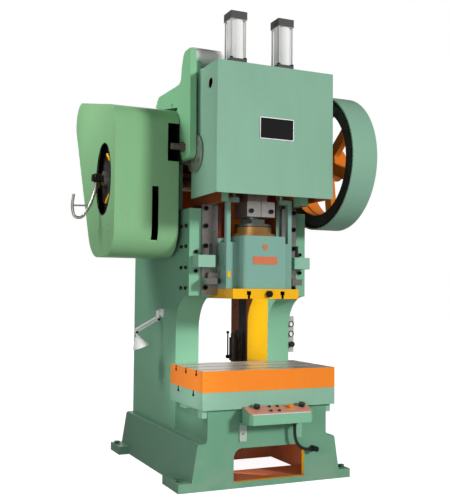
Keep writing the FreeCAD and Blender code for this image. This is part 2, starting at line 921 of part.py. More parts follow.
def gear_outline(teeth, module, thinning, turn=0.0):
    """Involute gear face, 20 degree pressure angle, with a tooth centred at the turn angle."""
    pitch = module * teeth / 2
    base = pitch * math.cos(math.radians(20))
    tip = pitch + module
    root = pitch - 1.25 * module
    half_at_pitch = math.pi / (2 * teeth) - thinning / (2 * pitch)
    roll = math.tan(math.radians(20)) - math.radians(20)
    radii = [max(base, root) + (tip - max(base, root)) * step / 4 for step in range(5)]
    flank = []
    for radius in radii:
        pressure = math.acos(min(1, base / radius))
        half = half_at_pitch + roll - (math.tan(pressure) - pressure)
        flank.append((radius, half))
    if root < base:
        flank.insert(0, (root, flank[0][1]))
    points = []
    for tooth in range(teeth):
        middle = turn + 2 * math.pi * tooth / teeth
        for radius, half in flank:
            points.append((radius, middle - half))
        for radius, half in reversed(flank):
            points.append((radius, middle + half))
    corners = [Vector(0, r * math.cos(a), r * math.sin(a)) for r, a in points]
    return Part.Face(Part.makePolygon(corners + corners[:1]))


def toothed(teeth, centre, span, turn):
    face = gear_outline(teeth, float(S.gear_module), 1.6, turn)
    face.translate(Vector(float(span[0]), float(centre[0]), float(centre[1])))
    return face.extrude(Vector(float(span[1]) - float(span[0]), 0, 0))


def build_crank():
    """Crankshaft at top dead centre, with its crankpin straight above the main journals."""
    centre = (0, S.crank_height)
    web_outer = S.crankpin_half_long + S.crank_web_thick
    reach = gear_to + 12
    pieces = [
        rod("x", (S.brake_disc_from, -web_outer), centre, S.journal_radius),
        rod("x", (web_outer, reach), centre, S.journal_radius),
        rod("x", (-S.crankpin_half_long, S.crankpin_half_long), (0, crankpin_height),
            S.crankpin_radius),
    ]
    for side in (-1, 1):
        span = sided(side, S.crankpin_half_long, web_outer)
        pieces.append(rod("x", span, (0, S.crank_height + S.throw / 2), S.crank_web_radius - 20))
    pieces.append(rod("x", (S.brake_disc_from, S.brake_disc_from + S.brake_disc_thick), centre,
                      S.brake_disc_radius))
    node("crankshaft", fuse(*pieces))
    rim = shaped(toothed(int(float(S.gear_teeth)), centre, (S.gear_from, gear_to), 0.0))
    inside = rod("x", (S.gear_from - 1, gear_to + 1), centre, S.gear_rim_inner)
    middle = (S.gear_from + gear_to) / 2
    web_span = (middle - S.gear_web_thick / 2, middle + S.gear_web_thick / 2)
    web = rod("x", web_span, centre, S.gear_rim_inner + 10)
    hub = rod("x", (S.gear_from, gear_to), centre, S.gear_hub_radius)
    bore = rod("x", (S.gear_from - 1, gear_to + 1), centre, S.journal_radius)
    openings = shaped(spoke_gaps(web_span))
    node("crank_gear", cut(fuse(cut(rim, inside), cut(web, openings), hub), bore))


def spoke_gaps(web_span):
    """The openings between the gear's spokes, each rounded at its four corners."""
    count = int(float(S.gear_spokes))
    inner, outer = float(S.gear_hub_radius) + 14, float(S.gear_rim_inner) - 8
    half_spoke = float(S.spoke_wide) / 2
    step = 2 * math.pi / count
    gaps = []
    for index in range(count):
        middle = step * index + math.radians(8)
        limit = step / 2
        near = limit - math.asin(half_spoke / inner)
        far = limit - math.asin(half_spoke / outer)
        corners = []
        for radius, spread in ((inner, near), (outer, far)):
            shares = (-1, 0, 1) if radius == inner else (1, 0, -1)
            corners.append([polar(middle + spread * share, radius) for share in shares])
        edges = [
            Part.Arc(*corners[0]).toShape(),
            Part.makeLine(corners[0][2], corners[1][0]),
            Part.Arc(*corners[1]).toShape(),
            Part.makeLine(corners[1][2], corners[0][0]),
        ]
        face = Part.Face(Part.Wire(edges))
        face.translate(Vector(float(web_span[0]) - 1, 0, float(S.crank_height)))
        gap = face.extrude(Vector(float(web_span[1]) - float(web_span[0]) + 2, 0, 0))
        upright = [edge for edge in gap.Edges if abs(edge.tangentAt(edge.FirstParameter).x) > 0.99]
        gaps.append(gap.makeFillet(30, upright))
    return Part.makeCompound(gaps)


def polar(angle, radius):
    """Point in the side plane; the angle starts at the front and turns upward."""
    return Vector(0, -radius * math.cos(angle), radius * math.sin(angle))


def build_bearings():
    rings = []
    for side in (-1, 1):
        span = sided(side, S.column_inner, S.column_inner + S.cheek_boss + S.cheek_thick)
        outer = rod("x", span, (0, S.crank_height), S.journal_radius + S.bearing_wall)
        wide = (span[0] - 1, span[1] + 1)
        inner = rod("x", wide, (0, S.crank_height), S.journal_radius + S.running_gap)
        rings.append(cut(outer, inner))
    for side in (-1, 1):
        span = sided(side, outer_plate, S.column_half_width + 30)
        flange = sided(side, S.column_half_width, S.column_half_width + 18)
        outer = rod("x", span, (shaft_y, shaft_z), S.shaft_radius + S.bearing_wall)
        ring = rod("x", flange, (shaft_y, shaft_z), S.shaft_radius + S.bearing_wall + 27)
        wide = (span[0] - 1, span[1] + 1)
        inner = rod("x", wide, (shaft_y, shaft_z), S.shaft_radius + S.running_gap)
        rings.append(cut(fuse(outer, ring), inner))
    node("bearings", group(*rings))


def build_pinion_shaft():
    teeth = int(float(S.pinion_teeth))
    centre = (shaft_y, shaft_z)
    toward_gear = math.atan2(-float(shaft_z - S.crank_height), -float(shaft_y))
    ratio = float(S.gear_teeth) / float(S.pinion_teeth)
    gear_phase = math.atan2(float(shaft_z - S.crank_height), float(shaft_y))
    gear_pitch_angle = 2 * math.pi / float(S.gear_teeth)
    past_tooth = gear_phase % gear_pitch_angle
    # Where the gear shows a tooth, the pinion shows a gap: half a pitch on, turning the other way.
    turn = toward_gear + math.pi / teeth + past_tooth * ratio
    pinion = shaped(toothed(teeth, centre, (S.gear_from, gear_to), turn))
    shaft = rod("x", (shaft_left, gear_to + 14), centre, S.shaft_radius)
    node("pinion_shaft", fuse(pinion, shaft))
    disc = rod("x", (clutch_from, clutch_to), centre, S.clutch_radius)
    bore = rod("x", (ring_from - 1, clutch_to + 1), centre, S.shaft_radius)
    ring = rod("x", (ring_from, clutch_from), centre, S.clutch_ring_radius)
    teeth_cut = []
    count = 24
    for index in range(count):
        angle = 2 * math.pi * index / count
        y = shaft_y + S.clutch_ring_radius * math.cos(angle)
        z = shaft_z + S.clutch_ring_radius * math.sin(angle)
        teeth_cut.append(rod("x", (ring_from - 1, clutch_from + 1), (y, z), 12))
    node("clutch_plate", cut(fuse(disc, cut(ring, *teeth_cut)), bore))


def build_flywheel():
    centre = (shaft_y, shaft_z)
    span = (S.flywheel_from, flywheel_to)
    wide = (S.flywheel_from - 1, flywheel_to + 1)
    rim = cut(rod("x", span, centre, S.flywheel_radius),
              rod("x", wide, centre, S.flywheel_radius - S.flywheel_rim))
    web_span = (belt_middle - S.flywheel_web / 2, belt_middle + S.flywheel_web / 2)
    web = rod("x", web_span, centre, S.flywheel_radius - S.flywheel_rim + 10)
    hub = rod("x", span, centre, S.flywheel_hub_radius)
    bore = rod("x", wide, centre, S.shaft_radius + S.running_gap)
    grooves = belt_grooves(centre, S.flywheel_radius)
    node("flywheel", cut(fuse(rim, web, hub), bore, *grooves))
    motor_centre = (S.motor_behind, S.motor_height)
    pulley = rod("x", span, motor_centre, S.pulley_radius)
    pulley_bore = rod("x", wide, motor_centre, S.motor_shaft_radius)
    wheel = cut(pulley, pulley_bore, *belt_grooves(motor_centre, S.pulley_radius))
    shaft = rod("x", (S.flywheel_from + 10, S.motor_from - 12), motor_centre, S.motor_shaft_radius)
    node("motor_pulley", fuse(wheel, shaft))


def belt_places():
    count = int(float(S.belt_count))
    return [belt_middle + S.belt_pitch * (index - (count - 1) / 2) for index in range(count)]


def belt_grooves(centre, radius):
    rings = []
    for middle in belt_places():
        half = S.belt_wide / 2 + S.free_gap
        span = (middle - half, middle + half)
        rings.append(cut(rod("x", span, centre, radius + 1),
                         rod("x", span, centre, radius - S.groove_deep)))
    return rings


def belt_face(radius_big, radius_small):
    """Area inside a belt line that goes round both wheels."""
    big = Vector(0, float(shaft_y), float(shaft_z))
    small = Vector(0, float(S.motor_behind), float(S.motor_height))
    line = small - big
    heading = math.atan2(line.z, line.y)
    swing = math.acos((radius_big - radius_small) / line.Length)

    def on(centre, radius, angle):
        return centre + Vector(0, math.cos(angle), math.sin(angle)) * radius

    up, down = heading + swing, heading - swing
    edges = [
        Part.Arc(on(big, radius_big, up), on(big, radius_big, heading + math.pi),
                 on(big, radius_big, down)).toShape(),
        Part.makeLine(on(big, radius_big, down), on(small, radius_small, down)),
        Part.Arc(on(small, radius_small, down), on(small, radius_small, heading),
                 on(small, radius_small, up)).toShape(),
        Part.makeLine(on(small, radius_small, up), on(big, radius_big, up)),
    ]
    return Part.Face(Part.Wire(edges))


def build_belts():
    seat = float(S.free_gap) - float(S.groove_deep)
    thick, wide = float(S.belt_thick), float(S.belt_wide)
    big, small = float(S.flywheel_radius) + seat, float(S.pulley_radius) + seat
    band = belt_face(big + thick, small + thick).cut(belt_face(big, small))
    belts = []
    for middle in belt_places():
        belt = band.copy()
        belt.translate(Vector(float(middle) - wide / 2, 0, 0))
        belts.append(belt.extrude(Vector(wide, 0, 0)))
    node("v_belts", shaped(Part.makeCompound(belts)))


def build_motor():
    centre = (S.motor_behind, S.motor_height)
    motor_to = S.motor_from + S.motor_long
    parts = [rod("x", (S.motor_from, motor_to), centre, S.motor_radius)]
    parts.append(rod("x", (S.motor_from - 12, S.motor_from), centre, S.motor_radius - 55))
    for index in range(24):
        angle = 2 * math.pi * index / 24
        fin = doc.addObject("Part::Box", "fin")
        bind(fin, "Length", S.motor_long - 120)
        bind(fin, "Width", 5)
        bind(fin, "Height", S.motor_radius + 10)
        turn = FreeCAD.Rotation(Vector(1, 0, 0), math.degrees(angle))
        place(fin, S.motor_from + 60, S.motor_behind, S.motor_height, turn)
        parts.append(fin)
    parts.append(box((S.motor_from + 120, S.motor_from + 300),
                     (S.motor_behind - 130, S.motor_behind - 60),
                     (S.motor_height + 60, S.motor_height + 118)))
    housing = cut(fuse(*parts),
                  rod("x", (S.motor_from - 13, S.motor_from + 20), centre, S.motor_shaft_radius + 2))
    foot_top = S.motor_height - S.motor_radius + 40
    feet = [box((S.motor_from + start, S.motor_from + start + 70),
                (S.motor_behind - 140, S.motor_behind + 140),
                (S.deck_top + 50, foot_top)) for start in (70, 400)]
    rails = [box((S.motor_from + start, S.motor_from + start + 90),
                 (S.motor_behind - 190, S.motor_behind + 190),
                 (S.deck_top, S.deck_top + 50)) for start in (60, 390)]
    node("motor", fuse(housing, *feet, *rails))


def build_air_feed():
    """Rotary union on the shaft's end, and the bent pipe that hangs from it."""
    gap = S.free_gap
    centre = (shaft_y, shaft_z)
    body = rod("x", (S.union_end, shaft_left - gap), centre, S.union_radius)
    collar = rod("x", (S.union_end + 18, S.union_end + 40), centre, S.union_radius + 6)
    node("rotary_union", fuse(body, collar))
    x, z = float(S.union_end) + 29, float(shaft_z)
    route = [(x, z - 36.3), (x, z - 100), (x - 45, z - 235), (x - 108, z - 330), (x - 172, z - 326),
             (x - 190, z - 240), (x - 178, z - 140)]
    points = [Vector(a, float(shaft_y), b) for a, b in route]
    path = smooth_path(points, "air pipe")
    pipe = sweep_round(path, points, float(S.pipe_radius))
    bar = Part.makeCylinder(float(S.pipe_radius) * 0.6, 112,
                            Vector(x - 176, float(shaft_y), z - 232), Vector(1, 0, 0.04))
    node("air_pipe", shaped(pipe.fuse(bar).removeSplitter()))


def smooth_path(points, name):
    """Straight runs joined by tangent arcs, each as large as its two runs allow."""
    edges = []
    last = points[0]
    radii = []
    for index in range(1, len(points) - 1):
        corner = points[index]
        back, onward = points[index - 1] - corner, points[index + 1] - corner
        reach = 0.45 * min(back.Length, onward.Length)
        half = back.getAngle(onward) / 2
        radii.append(round(reach * math.tan(half)))
        start = corner + back.normalize() * reach
        end = corner + onward.normalize() * reach
        bisector = (back + onward).normalize()
        radius = reach * math.tan(half)
        middle = corner + bisector * (radius / math.sin(half) - radius)
        edges.append(Part.makeLine(last, start))
        edges.append(Part.Arc(start, middle, end).toShape())
        last = end
    edges.append(Part.makeLine(last, points[-1]))
    print(f"{name}: radii {radii} mm, length {sum(edge.Length for edge in edges):.0f} mm")
    return Part.Wire(edges)


def sweep_round(path, points, radius):
    ring = Part.Wire(Part.makeCircle(radius, points[0], points[1] - points[0]))
    return path.makePipeShell([ring], True, False)


# ---------------------------------------------------------------- flywheel guard and side bracket

def guard_corners():
    return [
        (S.guard_front, S.guard_bottom, S.guard_heel_corner),
        (S.guard_toe, S.guard_bottom, S.guard_toe_corner),
        (S.guard_rear, S.guard_rear_top, S.guard_lobe),
        (S.guard_front, S.guard_front_top, S.guard_top_corner),
    ]


def build_flywheel_guard():
    long = S.guard_inner - S.guard_outer
    profile = outline("side", S.guard_outer, guard_corners())
    outside = drawn_out("side", profile, long)
    inner_profile = outline("side", S.guard_outer + S.sheet, guard_corners())
    inside = drawn_out("side", inset(inner_profile, S.sheet), long)
    hole = doc.addObject("Part::Ellipse", "oval")
    bind(hole, "MajorRadius", S.guard_hole_half_high)
    bind(hole, "MinorRadius", S.guard_hole_half_wide)
    place(hole, S.guard_outer - 1, S.guard_hole_centre_behind, S.guard_hole_centre_height,
          FreeCAD.Rotation(Vector(0, 1, 0), -90))
    oval = drawn_out("side", hole, S.sheet + 2)
    slot_to = S.guard_slot_from + S.guard_slot_wide
    slot = box((S.guard_slot_from, slot_to), (S.guard_front - 1, S.guard_front + S.sheet + 24),
               (S.guard_bottom + 110, S.guard_slot_top))
    notch = box((S.guard_inner - S.notch_wide, S.guard_inner + 1),
                (S.guard_front - 1, S.guard_front + S.sheet + 1), (S.notch_low, S.notch_high))
    node("flywheel_guard", cut(outside, inside, oval, slot, notch))
    plate_profile = inset(outline("side", S.guard_inner, guard_corners()), S.sheet)
    plate = drawn_out("side", plate_profile, S.guard_backplate)
    shaft_hole = rod("x", (S.guard_inner - 1, S.guard_inner + S.guard_backplate + 1),
                     (shaft_y, shaft_z), S.shaft_radius + 70)
    motor_hole = rod("x", (S.guard_inner - 1, S.guard_inner + S.guard_backplate + 1),
                     (S.motor_behind, S.motor_height), S.motor_shaft_radius + 30)
    pin_hole = rod("x", (S.guard_inner - 1, S.guard_inner + S.guard_backplate + 1),
                   (S.bracket_pin_behind, S.bracket_pin_height), S.bracket_pin_radius + 10)
    stays = []
    for y, z in ((560, 1790), (930, 2140), (1130, 2560)):
        stays.append(rod("x", (S.guard_inner + S.guard_backplate, -S.column_half_width), (y, z), 22))
    node("guard_backplate", fuse(cut(plate, shaft_hole, motor_hole, pin_hole), *stays))


def build_side_bracket():
    outer = -S.column_half_width - S.bracket_thick
    plate = prism("side", (outer, -S.column_half_width), [
        (-60, 2490, 60),
        (118, 2490, 50),
        (150, 2560),
        (176, 2640, 90),
        (236, 2935),
        (600, 2990),
        (765, 3040),
        (700, 3118, 80),
        (165, 3112, 60),
        (140, 3250, 90),
        (95, 3350, 60),
        (-42, 3350, 25),
    ])
    pin_hole = rod("x", (outer - 1, -S.column_half_width + 1),
                   (S.bracket_pin_behind, S.bracket_pin_height), S.bracket_pin_radius)
    small = rod("x", (outer - 1, -S.column_half_width + 1), (356, 2977), 14)
    node("side_bracket", cut(plate, pin_hole, small))
    centre = (S.bracket_pin_behind, S.bracket_pin_height)
    pin = rod("x", (outer - S.bracket_pin_long, -S.column_half_width), centre, S.bracket_pin_radius)
    nut = hexagon("x", (outer - 22, outer), centre, S.bracket_pin_radius + 15)
    node("bracket_pin", fuse(pin, nut))


def build_gear_guard():
    span = (S.band_from, S.band_from + S.band_wide)
    wide = (span[0] - 1, span[1] + 1)
    crank, pinion = (0, S.crank_height), (shaft_y, shaft_z)
    outer = fuse(rod("x", span, crank, S.band_radius), rod("x", span, pinion, S.band_lobe_radius))
    inner = fuse(rod("x", wide, crank, S.band_radius - S.band_thick),
                 rod("x", wide, pinion, S.band_lobe_radius - S.band_thick))
    band = cut(outer, inner)
    stubs = []
    middle = S.band_radius - S.band_thick / 2
    for angle in (68, 38, -38, -68):
        y = middle * math.cos(math.radians(angle))
        z = S.crank_height + middle * math.sin(math.radians(angle))
        stubs.append(rod("x", (S.column_half_width, S.band_from + 6), (y, z), S.stub_radius))
    rear = S.band_lobe_radius - S.band_thick / 2
    stubs.append(rod("x", (S.column_half_width, S.band_from + 6), (shaft_y + rear, shaft_z),
                     S.stub_radius))
    node("gear_guard", fuse(band, *stubs))


# ---------------------------------------------------------------- slide and connecting rod

def build_slide():
    half, wall = S.slide_half_width, S.slide_wall
    nose_half = S.slide_nose_half_width
    body = box((-half, half), (S.slide_front, S.slide_rear), (S.slide_low, S.slide_shoulder))
    nose = prism("plan", (S.slide_low, S.slide_top), [
        (-nose_half, S.slide_nose_front, S.nose_corner),
        (nose_half, S.slide_nose_front, S.nose_corner),
        (nose_half, S.slide_front + 150),
        (-nose_half, S.slide_front + 150),
    ])
    wings = box((-S.wing_half_width, S.wing_half_width), (S.wing_front, S.slide_rear),
                (S.slide_low, S.slide_tail_top))
    well = box((-half + wall, half - wall), (S.wing_front - 1, S.slide_rear - wall),
               (S.slide_top, S.slide_tail_top + 1))
    posts = []
    for side in (-1, 1):
        across = sided(side, half - S.post_thick, half)
        posts.append(box(across, (S.slide_front, S.slide_front + S.post_deep),
                         (S.slide_shoulder, S.post_top)))
        lug = sided(side, S.balancer_spread - 30, half)
        posts.append(box(lug, (S.slide_front, S.balancer_behind + 30),
                         (S.post_top - 36, S.post_top)))
    socket = ball(0, 0, ball_height, S.ball_radius + S.free_gap)
    neck = rod("z", (ball_height, S.slide_top + 1), (0, 0), S.ball_radius + S.free_gap)
    shank = rod("z", (S.slide_low - 1, S.slide_low + S.shank_deep), (0, 0), S.shank_radius)
    slot = box((-S.wing_half_width - 1, S.wing_half_width + 1),
               (-S.knockout_bar_deep / 2 - S.free_gap, S.knockout_bar_deep / 2 + S.free_gap),
               (knockout_slot_low, knockout_slot_top))
    node("slide", cut(fuse(body, nose, cut(wings, well), *posts), socket, neck, shank, slot))
    slide_plate()
    half_long, half_high = S.label_long / 2, S.label_high / 2
    label = box((-half_long, half_long), (S.slide_nose_front - 3, S.slide_nose_front),
                (label_centre - half_high, label_centre + half_high))
    badge = rod("y", (S.slide_nose_front - 3, S.slide_nose_front), (0, badge_height),
                S.badge_radius)
    node("slide_labels", group(label, badge))
    bar = box((-S.knockout_bar_half, S.knockout_bar_half),
              (-S.knockout_bar_deep / 2, S.knockout_bar_deep / 2),
              (knockout_slot_low + S.free_gap,
               knockout_slot_low + S.free_gap + S.knockout_bar_high))
    node("knockout_bar", bar)


def slide_plate():
    half, deep = S.slide_plate_half_wide, S.slide_plate_half_deep
    plate = box((-half, half), (-deep, deep), (S.slide_plate_low, S.slide_low))
    neck = S.slide_slot_deep / 2
    span = (-deep - 1, deep + 1)
    cutters = []
    for centre in (S.slide_slot_left, S.slide_slot_right):
        cutters.append(tee_slot("y", span, centre, S.slide_plate_low,
                                (S.slide_slot_neck, S.slide_slot_foot), (neck, neck), 1))
    hole = rod("z", (S.slide_plate_low - 1, S.slide_low + 1), (0, 0), S.shank_radius)
    bolt_hole = rod("y", (-deep - 1, -S.shank_radius + 1), (21, (S.slide_plate_low + S.slide_low) / 2),
                    14)
    node("slide_plate", cut(plate, *cutters, hole, bolt_hole))
    middle = (S.slide_plate_low + S.slide_low) / 2
    screw = rod("y", (-deep - 2, -S.shank_radius - 6), (21, middle), 14)
    head = hexagon("y", (-deep - 22, -deep), (21, middle), 28)
    node("shank_bolt", fuse(screw, head))


def build_rod():
    """Connecting rod. Its head has a window, because it moves straight up and down while the
    crankpin swings to the rear."""
    # At most the crankpin's height departs from the rod's steady travel by this share of the throw.
    swing = S.throw * 0.2106 + S.free_gap
    reach = S.crankpin_radius + 1
    window_high = reach + swing
    thick = (-S.rod_half_thick, S.rod_half_thick)
    front, rear = -reach - S.rod_wall, S.throw + reach + S.rod_wall
    head = box(thick, (front, rear),
               (crankpin_height - window_high - S.rod_wall, crankpin_height + window_high + S.rod_wall))
    window = box((-S.rod_half_thick - 1, S.rod_half_thick + 1), (-reach, S.throw + reach),
                 (crankpin_height - window_high, crankpin_height + window_high))
    shank = box(thick, (-S.rod_shank_half, S.rod_shank_half),
                (S.clamp_top - 10, crankpin_height - window_high - S.rod_wall + 10))
    clamp = box((-S.clamp_half_wide, S.clamp_half_wide), (S.clamp_front, S.rod_shank_half),
                (S.clamp_bottom, S.clamp_top))
    bore_top = S.clamp_top + 130
    bore = rod("z", (S.clamp_bottom - 1, bore_top), (0, 0), S.screw_radius + S.running_gap)
    bolts, holes = [], []
    height = (S.clamp_bottom + S.clamp_top) / 2 - 16
    for side in (-1, 1):
        centre = (S.clamp_bolt_half_pitch * side, height)
        holes.append(rod("y", (S.clamp_front - 1, S.rod_shank_half - 30), centre,
                         S.clamp_bolt_radius * 0.6))
        stud = rod("y", (S.clamp_front - 1, S.rod_shank_half - 30), centre,
                   S.clamp_bolt_radius * 0.6)
        head_bolt = hexagon("y", (S.clamp_front - 16, S.clamp_front), centre, S.clamp_bolt_radius)
        bolts.append(fuse(stud, head_bolt))
    split = box((-2, 2), (S.clamp_front - 1, 0), (S.clamp_bottom - 1, S.clamp_top + 1))
    node("connecting_rod", cut(fuse(cut(head, window), shank, clamp), bore, split, *holes))
    node("clamp_bolts", group(*bolts))
    screw = rod("z", (ball_height, S.clamp_top + 118), (0, 0), S.screw_radius)
    globe = ball(0, 0, ball_height, S.ball_radius)
    nut = hexagon("z", (nut_low, nut_top), (0, 0), S.nut_radius)
    ratchet = rod("z", (nut_low, nut_low + 22), (0, 0), S.ratchet_radius)
    node("adjusting_screw", fuse(screw, globe, nut, ratchet))


def build_collar():
    low = rod("z", (S.collar_low, S.collar_top), (0, 0), S.collar_radius)
    flange = rod("z", (S.collar_low, S.collar_low + 24), (0, 0), S.collar_radius + S.collar_flange)
    bore = rod("z", (S.collar_low - 1, S.collar_top + 1), (0, 0), S.screw_radius + 4)
    node("slide_collar", cut(fuse(low, flange), bore))


GIB_BOLT_HEIGHTS = (1487, 1814, 1971, 2110)
SIDE_BOLT_ROWS = (119, 218)
SIDE_BOLT_HEIGHTS = (1481, 1643, 1810, 1973)


def build_gibs():
    gap = S.free_gap
    gib = prism("plan", (S.gib_low, S.jaw_top), [
        (S.gib_inner, S.gib_front),
        (S.gib_outer, S.gib_front),
        (S.gib_outer, S.jaw_front),
        (S.column_inner, S.jaw_front),
        (S.column_inner, S.crown_back),
        (S.gib_lip, S.crown_back),
        (S.gib_lip, S.slide_rear + gap),
        (S.wing_half_width + gap, S.slide_rear + gap),
        (S.wing_half_width + gap, S.wing_front - gap),
        (S.gib_inner, S.wing_front - gap),
    ])
    front = -S.knockout_out
    height = (S.knockout_arm_low, S.knockout_arm_high)
    arm = fuse(box((S.knockout_bar_half + 5, S.gib_outer), (front, S.gib_front), height),
               box((S.knockout_arm_from, S.gib_outer), (front, front + S.knockout_arm_deep), height))
    gib = fuse(gib, arm)
    node("gibs", group(gib, mirrored(gib)))
    bolts = []
    on_gib = (S.gib_front - S.bolt_head_high, S.gib_front)
    on_jaw = (S.jaw_front - S.bolt_head_high, S.jaw_front)
    for side in (-1, 1):
        for height in GIB_BOLT_HEIGHTS:
            bolts.append(hexagon("y", on_gib, (S.gib_bolt_place * side, height), S.gib_bolt_radius))
        for height in (S.knockout_low - S.jaw_bolt_gap, S.knockout_high + S.jaw_bolt_gap):
            bolts.append(hexagon("y", on_jaw, (S.jaw_bolt_place * side, height), S.jaw_bolt_radius))
        outer = sided(side, S.column_half_width, S.column_half_width + S.bolt_head_high)
        for behind in SIDE_BOLT_ROWS:
            for height in SIDE_BOLT_HEIGHTS:
                bolts.append(hexagon("x", outer, (behind, height), S.side_bolt_radius))
    node("gib_bolts", group(*bolts))


def build_knockout():
    """Blocks on the jaws with the bar's stops, and a buffer knob at each arm's end."""
    brackets = []
    front = -S.knockout_out
    middle = front + S.knockout_arm_deep / 2
    height = (S.knockout_low, S.knockout_high)
    for side in (-1, 1):
        foot = box(sided(side, S.knockout_from, S.knockout_to), (front, S.gib_front), height)
        pad = box(sided(side, S.gib_outer, S.knockout_to), (S.gib_front, S.jaw_front), height)
        stop = rod("z", (S.knockout_high, S.knockout_high + S.stop_long),
                   ((S.knockout_from + S.stop_inset) * side, middle), S.stop_rod_radius)
        knob = rod("x", sided(side, S.knockout_arm_from - S.knob_long, S.knockout_arm_from),
                   (middle, (S.knockout_arm_low + S.knockout_arm_high) / 2), S.buffer_radius)
        brackets.extend((fuse(foot, pad, stop), knob))
    node("knockout_brackets", group(*brackets))


# ---------------------------------------------------------------- balance cylinders and tank

def build_balancers():
    bases, barrels, caps, rods_ = [], [], [], []
    base_top = cover_top + S.balancer_base_high
    half = S.balancer_half
    cap_top = S.balancer_barrel_top + S.balancer_cap_high
    for side in (-1, 1):
        x, y = S.balancer_spread * side, S.balancer_behind
        square = ((x - half, x + half), (y - half, y + half))
        through = rod("z", (cover_top - 1, base_top + 1), (x, y), S.balance_rod_radius + S.running_gap)
        bases.append(cut(box(*square, (cover_top, base_top)), through))
        shell = rod("z", (base_top, S.balancer_barrel_top), (x, y), S.balancer_barrel_radius)
        hollow = rod("z", (base_top - 1, S.balancer_barrel_top + 1), (x, y),
                     S.balancer_barrel_radius - S.balancer_wall)
        barrels.append(cut(shell, hollow))
        cap = [box(*square, (S.balancer_barrel_top, cap_top))]
        for side_x in (-1, 1):
            for side_y in (-1, 1):
                inset_by = half - S.tie_rod_radius - 4
                cap.append(rod("z", (base_top, S.balancer_barrel_top + 5),
                               (x + inset_by * side_x, y + inset_by * side_y), S.tie_rod_radius))
        caps.append(fuse(*cap))
        piston_low = base_top + S.piston_rest
        rod_piece = rod("z", (S.post_top, piston_low + S.piston_high / 2), (x, y),
                        S.balance_rod_radius)
        piston = rod("z", (piston_low, piston_low + S.piston_high), (x, y),
                     S.balancer_barrel_radius - S.balancer_wall - S.free_gap)
        rods_.append(fuse(rod_piece, piston))
    node("balancer_barrels", group(*barrels))
    node("balancer_ends", group(*bases, *caps))
    node("balance_rods", group(*rods_))


def build_tank():
    tank_to = S.tank_from + S.tank_long
    centre = (S.tank_behind, S.tank_height)
    inner = (S.tank_from + 24, tank_to - 24)
    middle = rod("x", inner, centre, S.tank_radius)
    left = taper("x", (S.tank_from, inner[0]), centre, S.tank_radius - 26, S.tank_radius)
    right = taper("x", (inner[1], tank_to), centre, S.tank_radius, S.tank_radius - 26)
    node("air_tank", fuse(middle, left, right))


# ---------------------------------------------------------------- controls

def panel_point(y, lift=0.0):
    """Height of the sloped panel's outer face at a place behind the slide's centreline."""
    rise = (as_size(y) - S.box_front) * sine(S.panel_slope) / cosine(S.panel_slope)
    return S.box_bottom + S.box_lip + rise + lift


def on_panel(x, y, low, high, radius):
    """Cylinder square to the panel, from one distance over its face to another."""
    turn = FreeCAD.Rotation(Vector(1, 0, 0), float(S.panel_slope))
    button = doc.addObject("Part::Cylinder", "button")
    bind(button, "Radius", radius)
    bind(button, "Height", as_size(high) - low)
    shift_y = as_size(y) - sine(S.panel_slope) * low
    shift_z = panel_point(y) + cosine(S.panel_slope) * low
    return place(button, x, shift_y, shift_z, turn)


BUTTONS = {
    "palm_button_left": (-141, -377),
    "palm_button_right": (237, -382),
    "button_run": (-29, -364),
    "button_inch": (39, -365),
    "button_mode": (-49, -433),
    "button_reset": (20, -435),
    "emergency_stop": (132, -395),
}


# The conduit's corners, as shares of its way to the right, to the rear and down
CONDUIT_STEPS = (
    (0.000, 0.00, 0.478),
    (0.133, 0.25, 0.718),
    (0.380, 0.70, 0.901),
    (0.698, 1.00, 1.000),
)


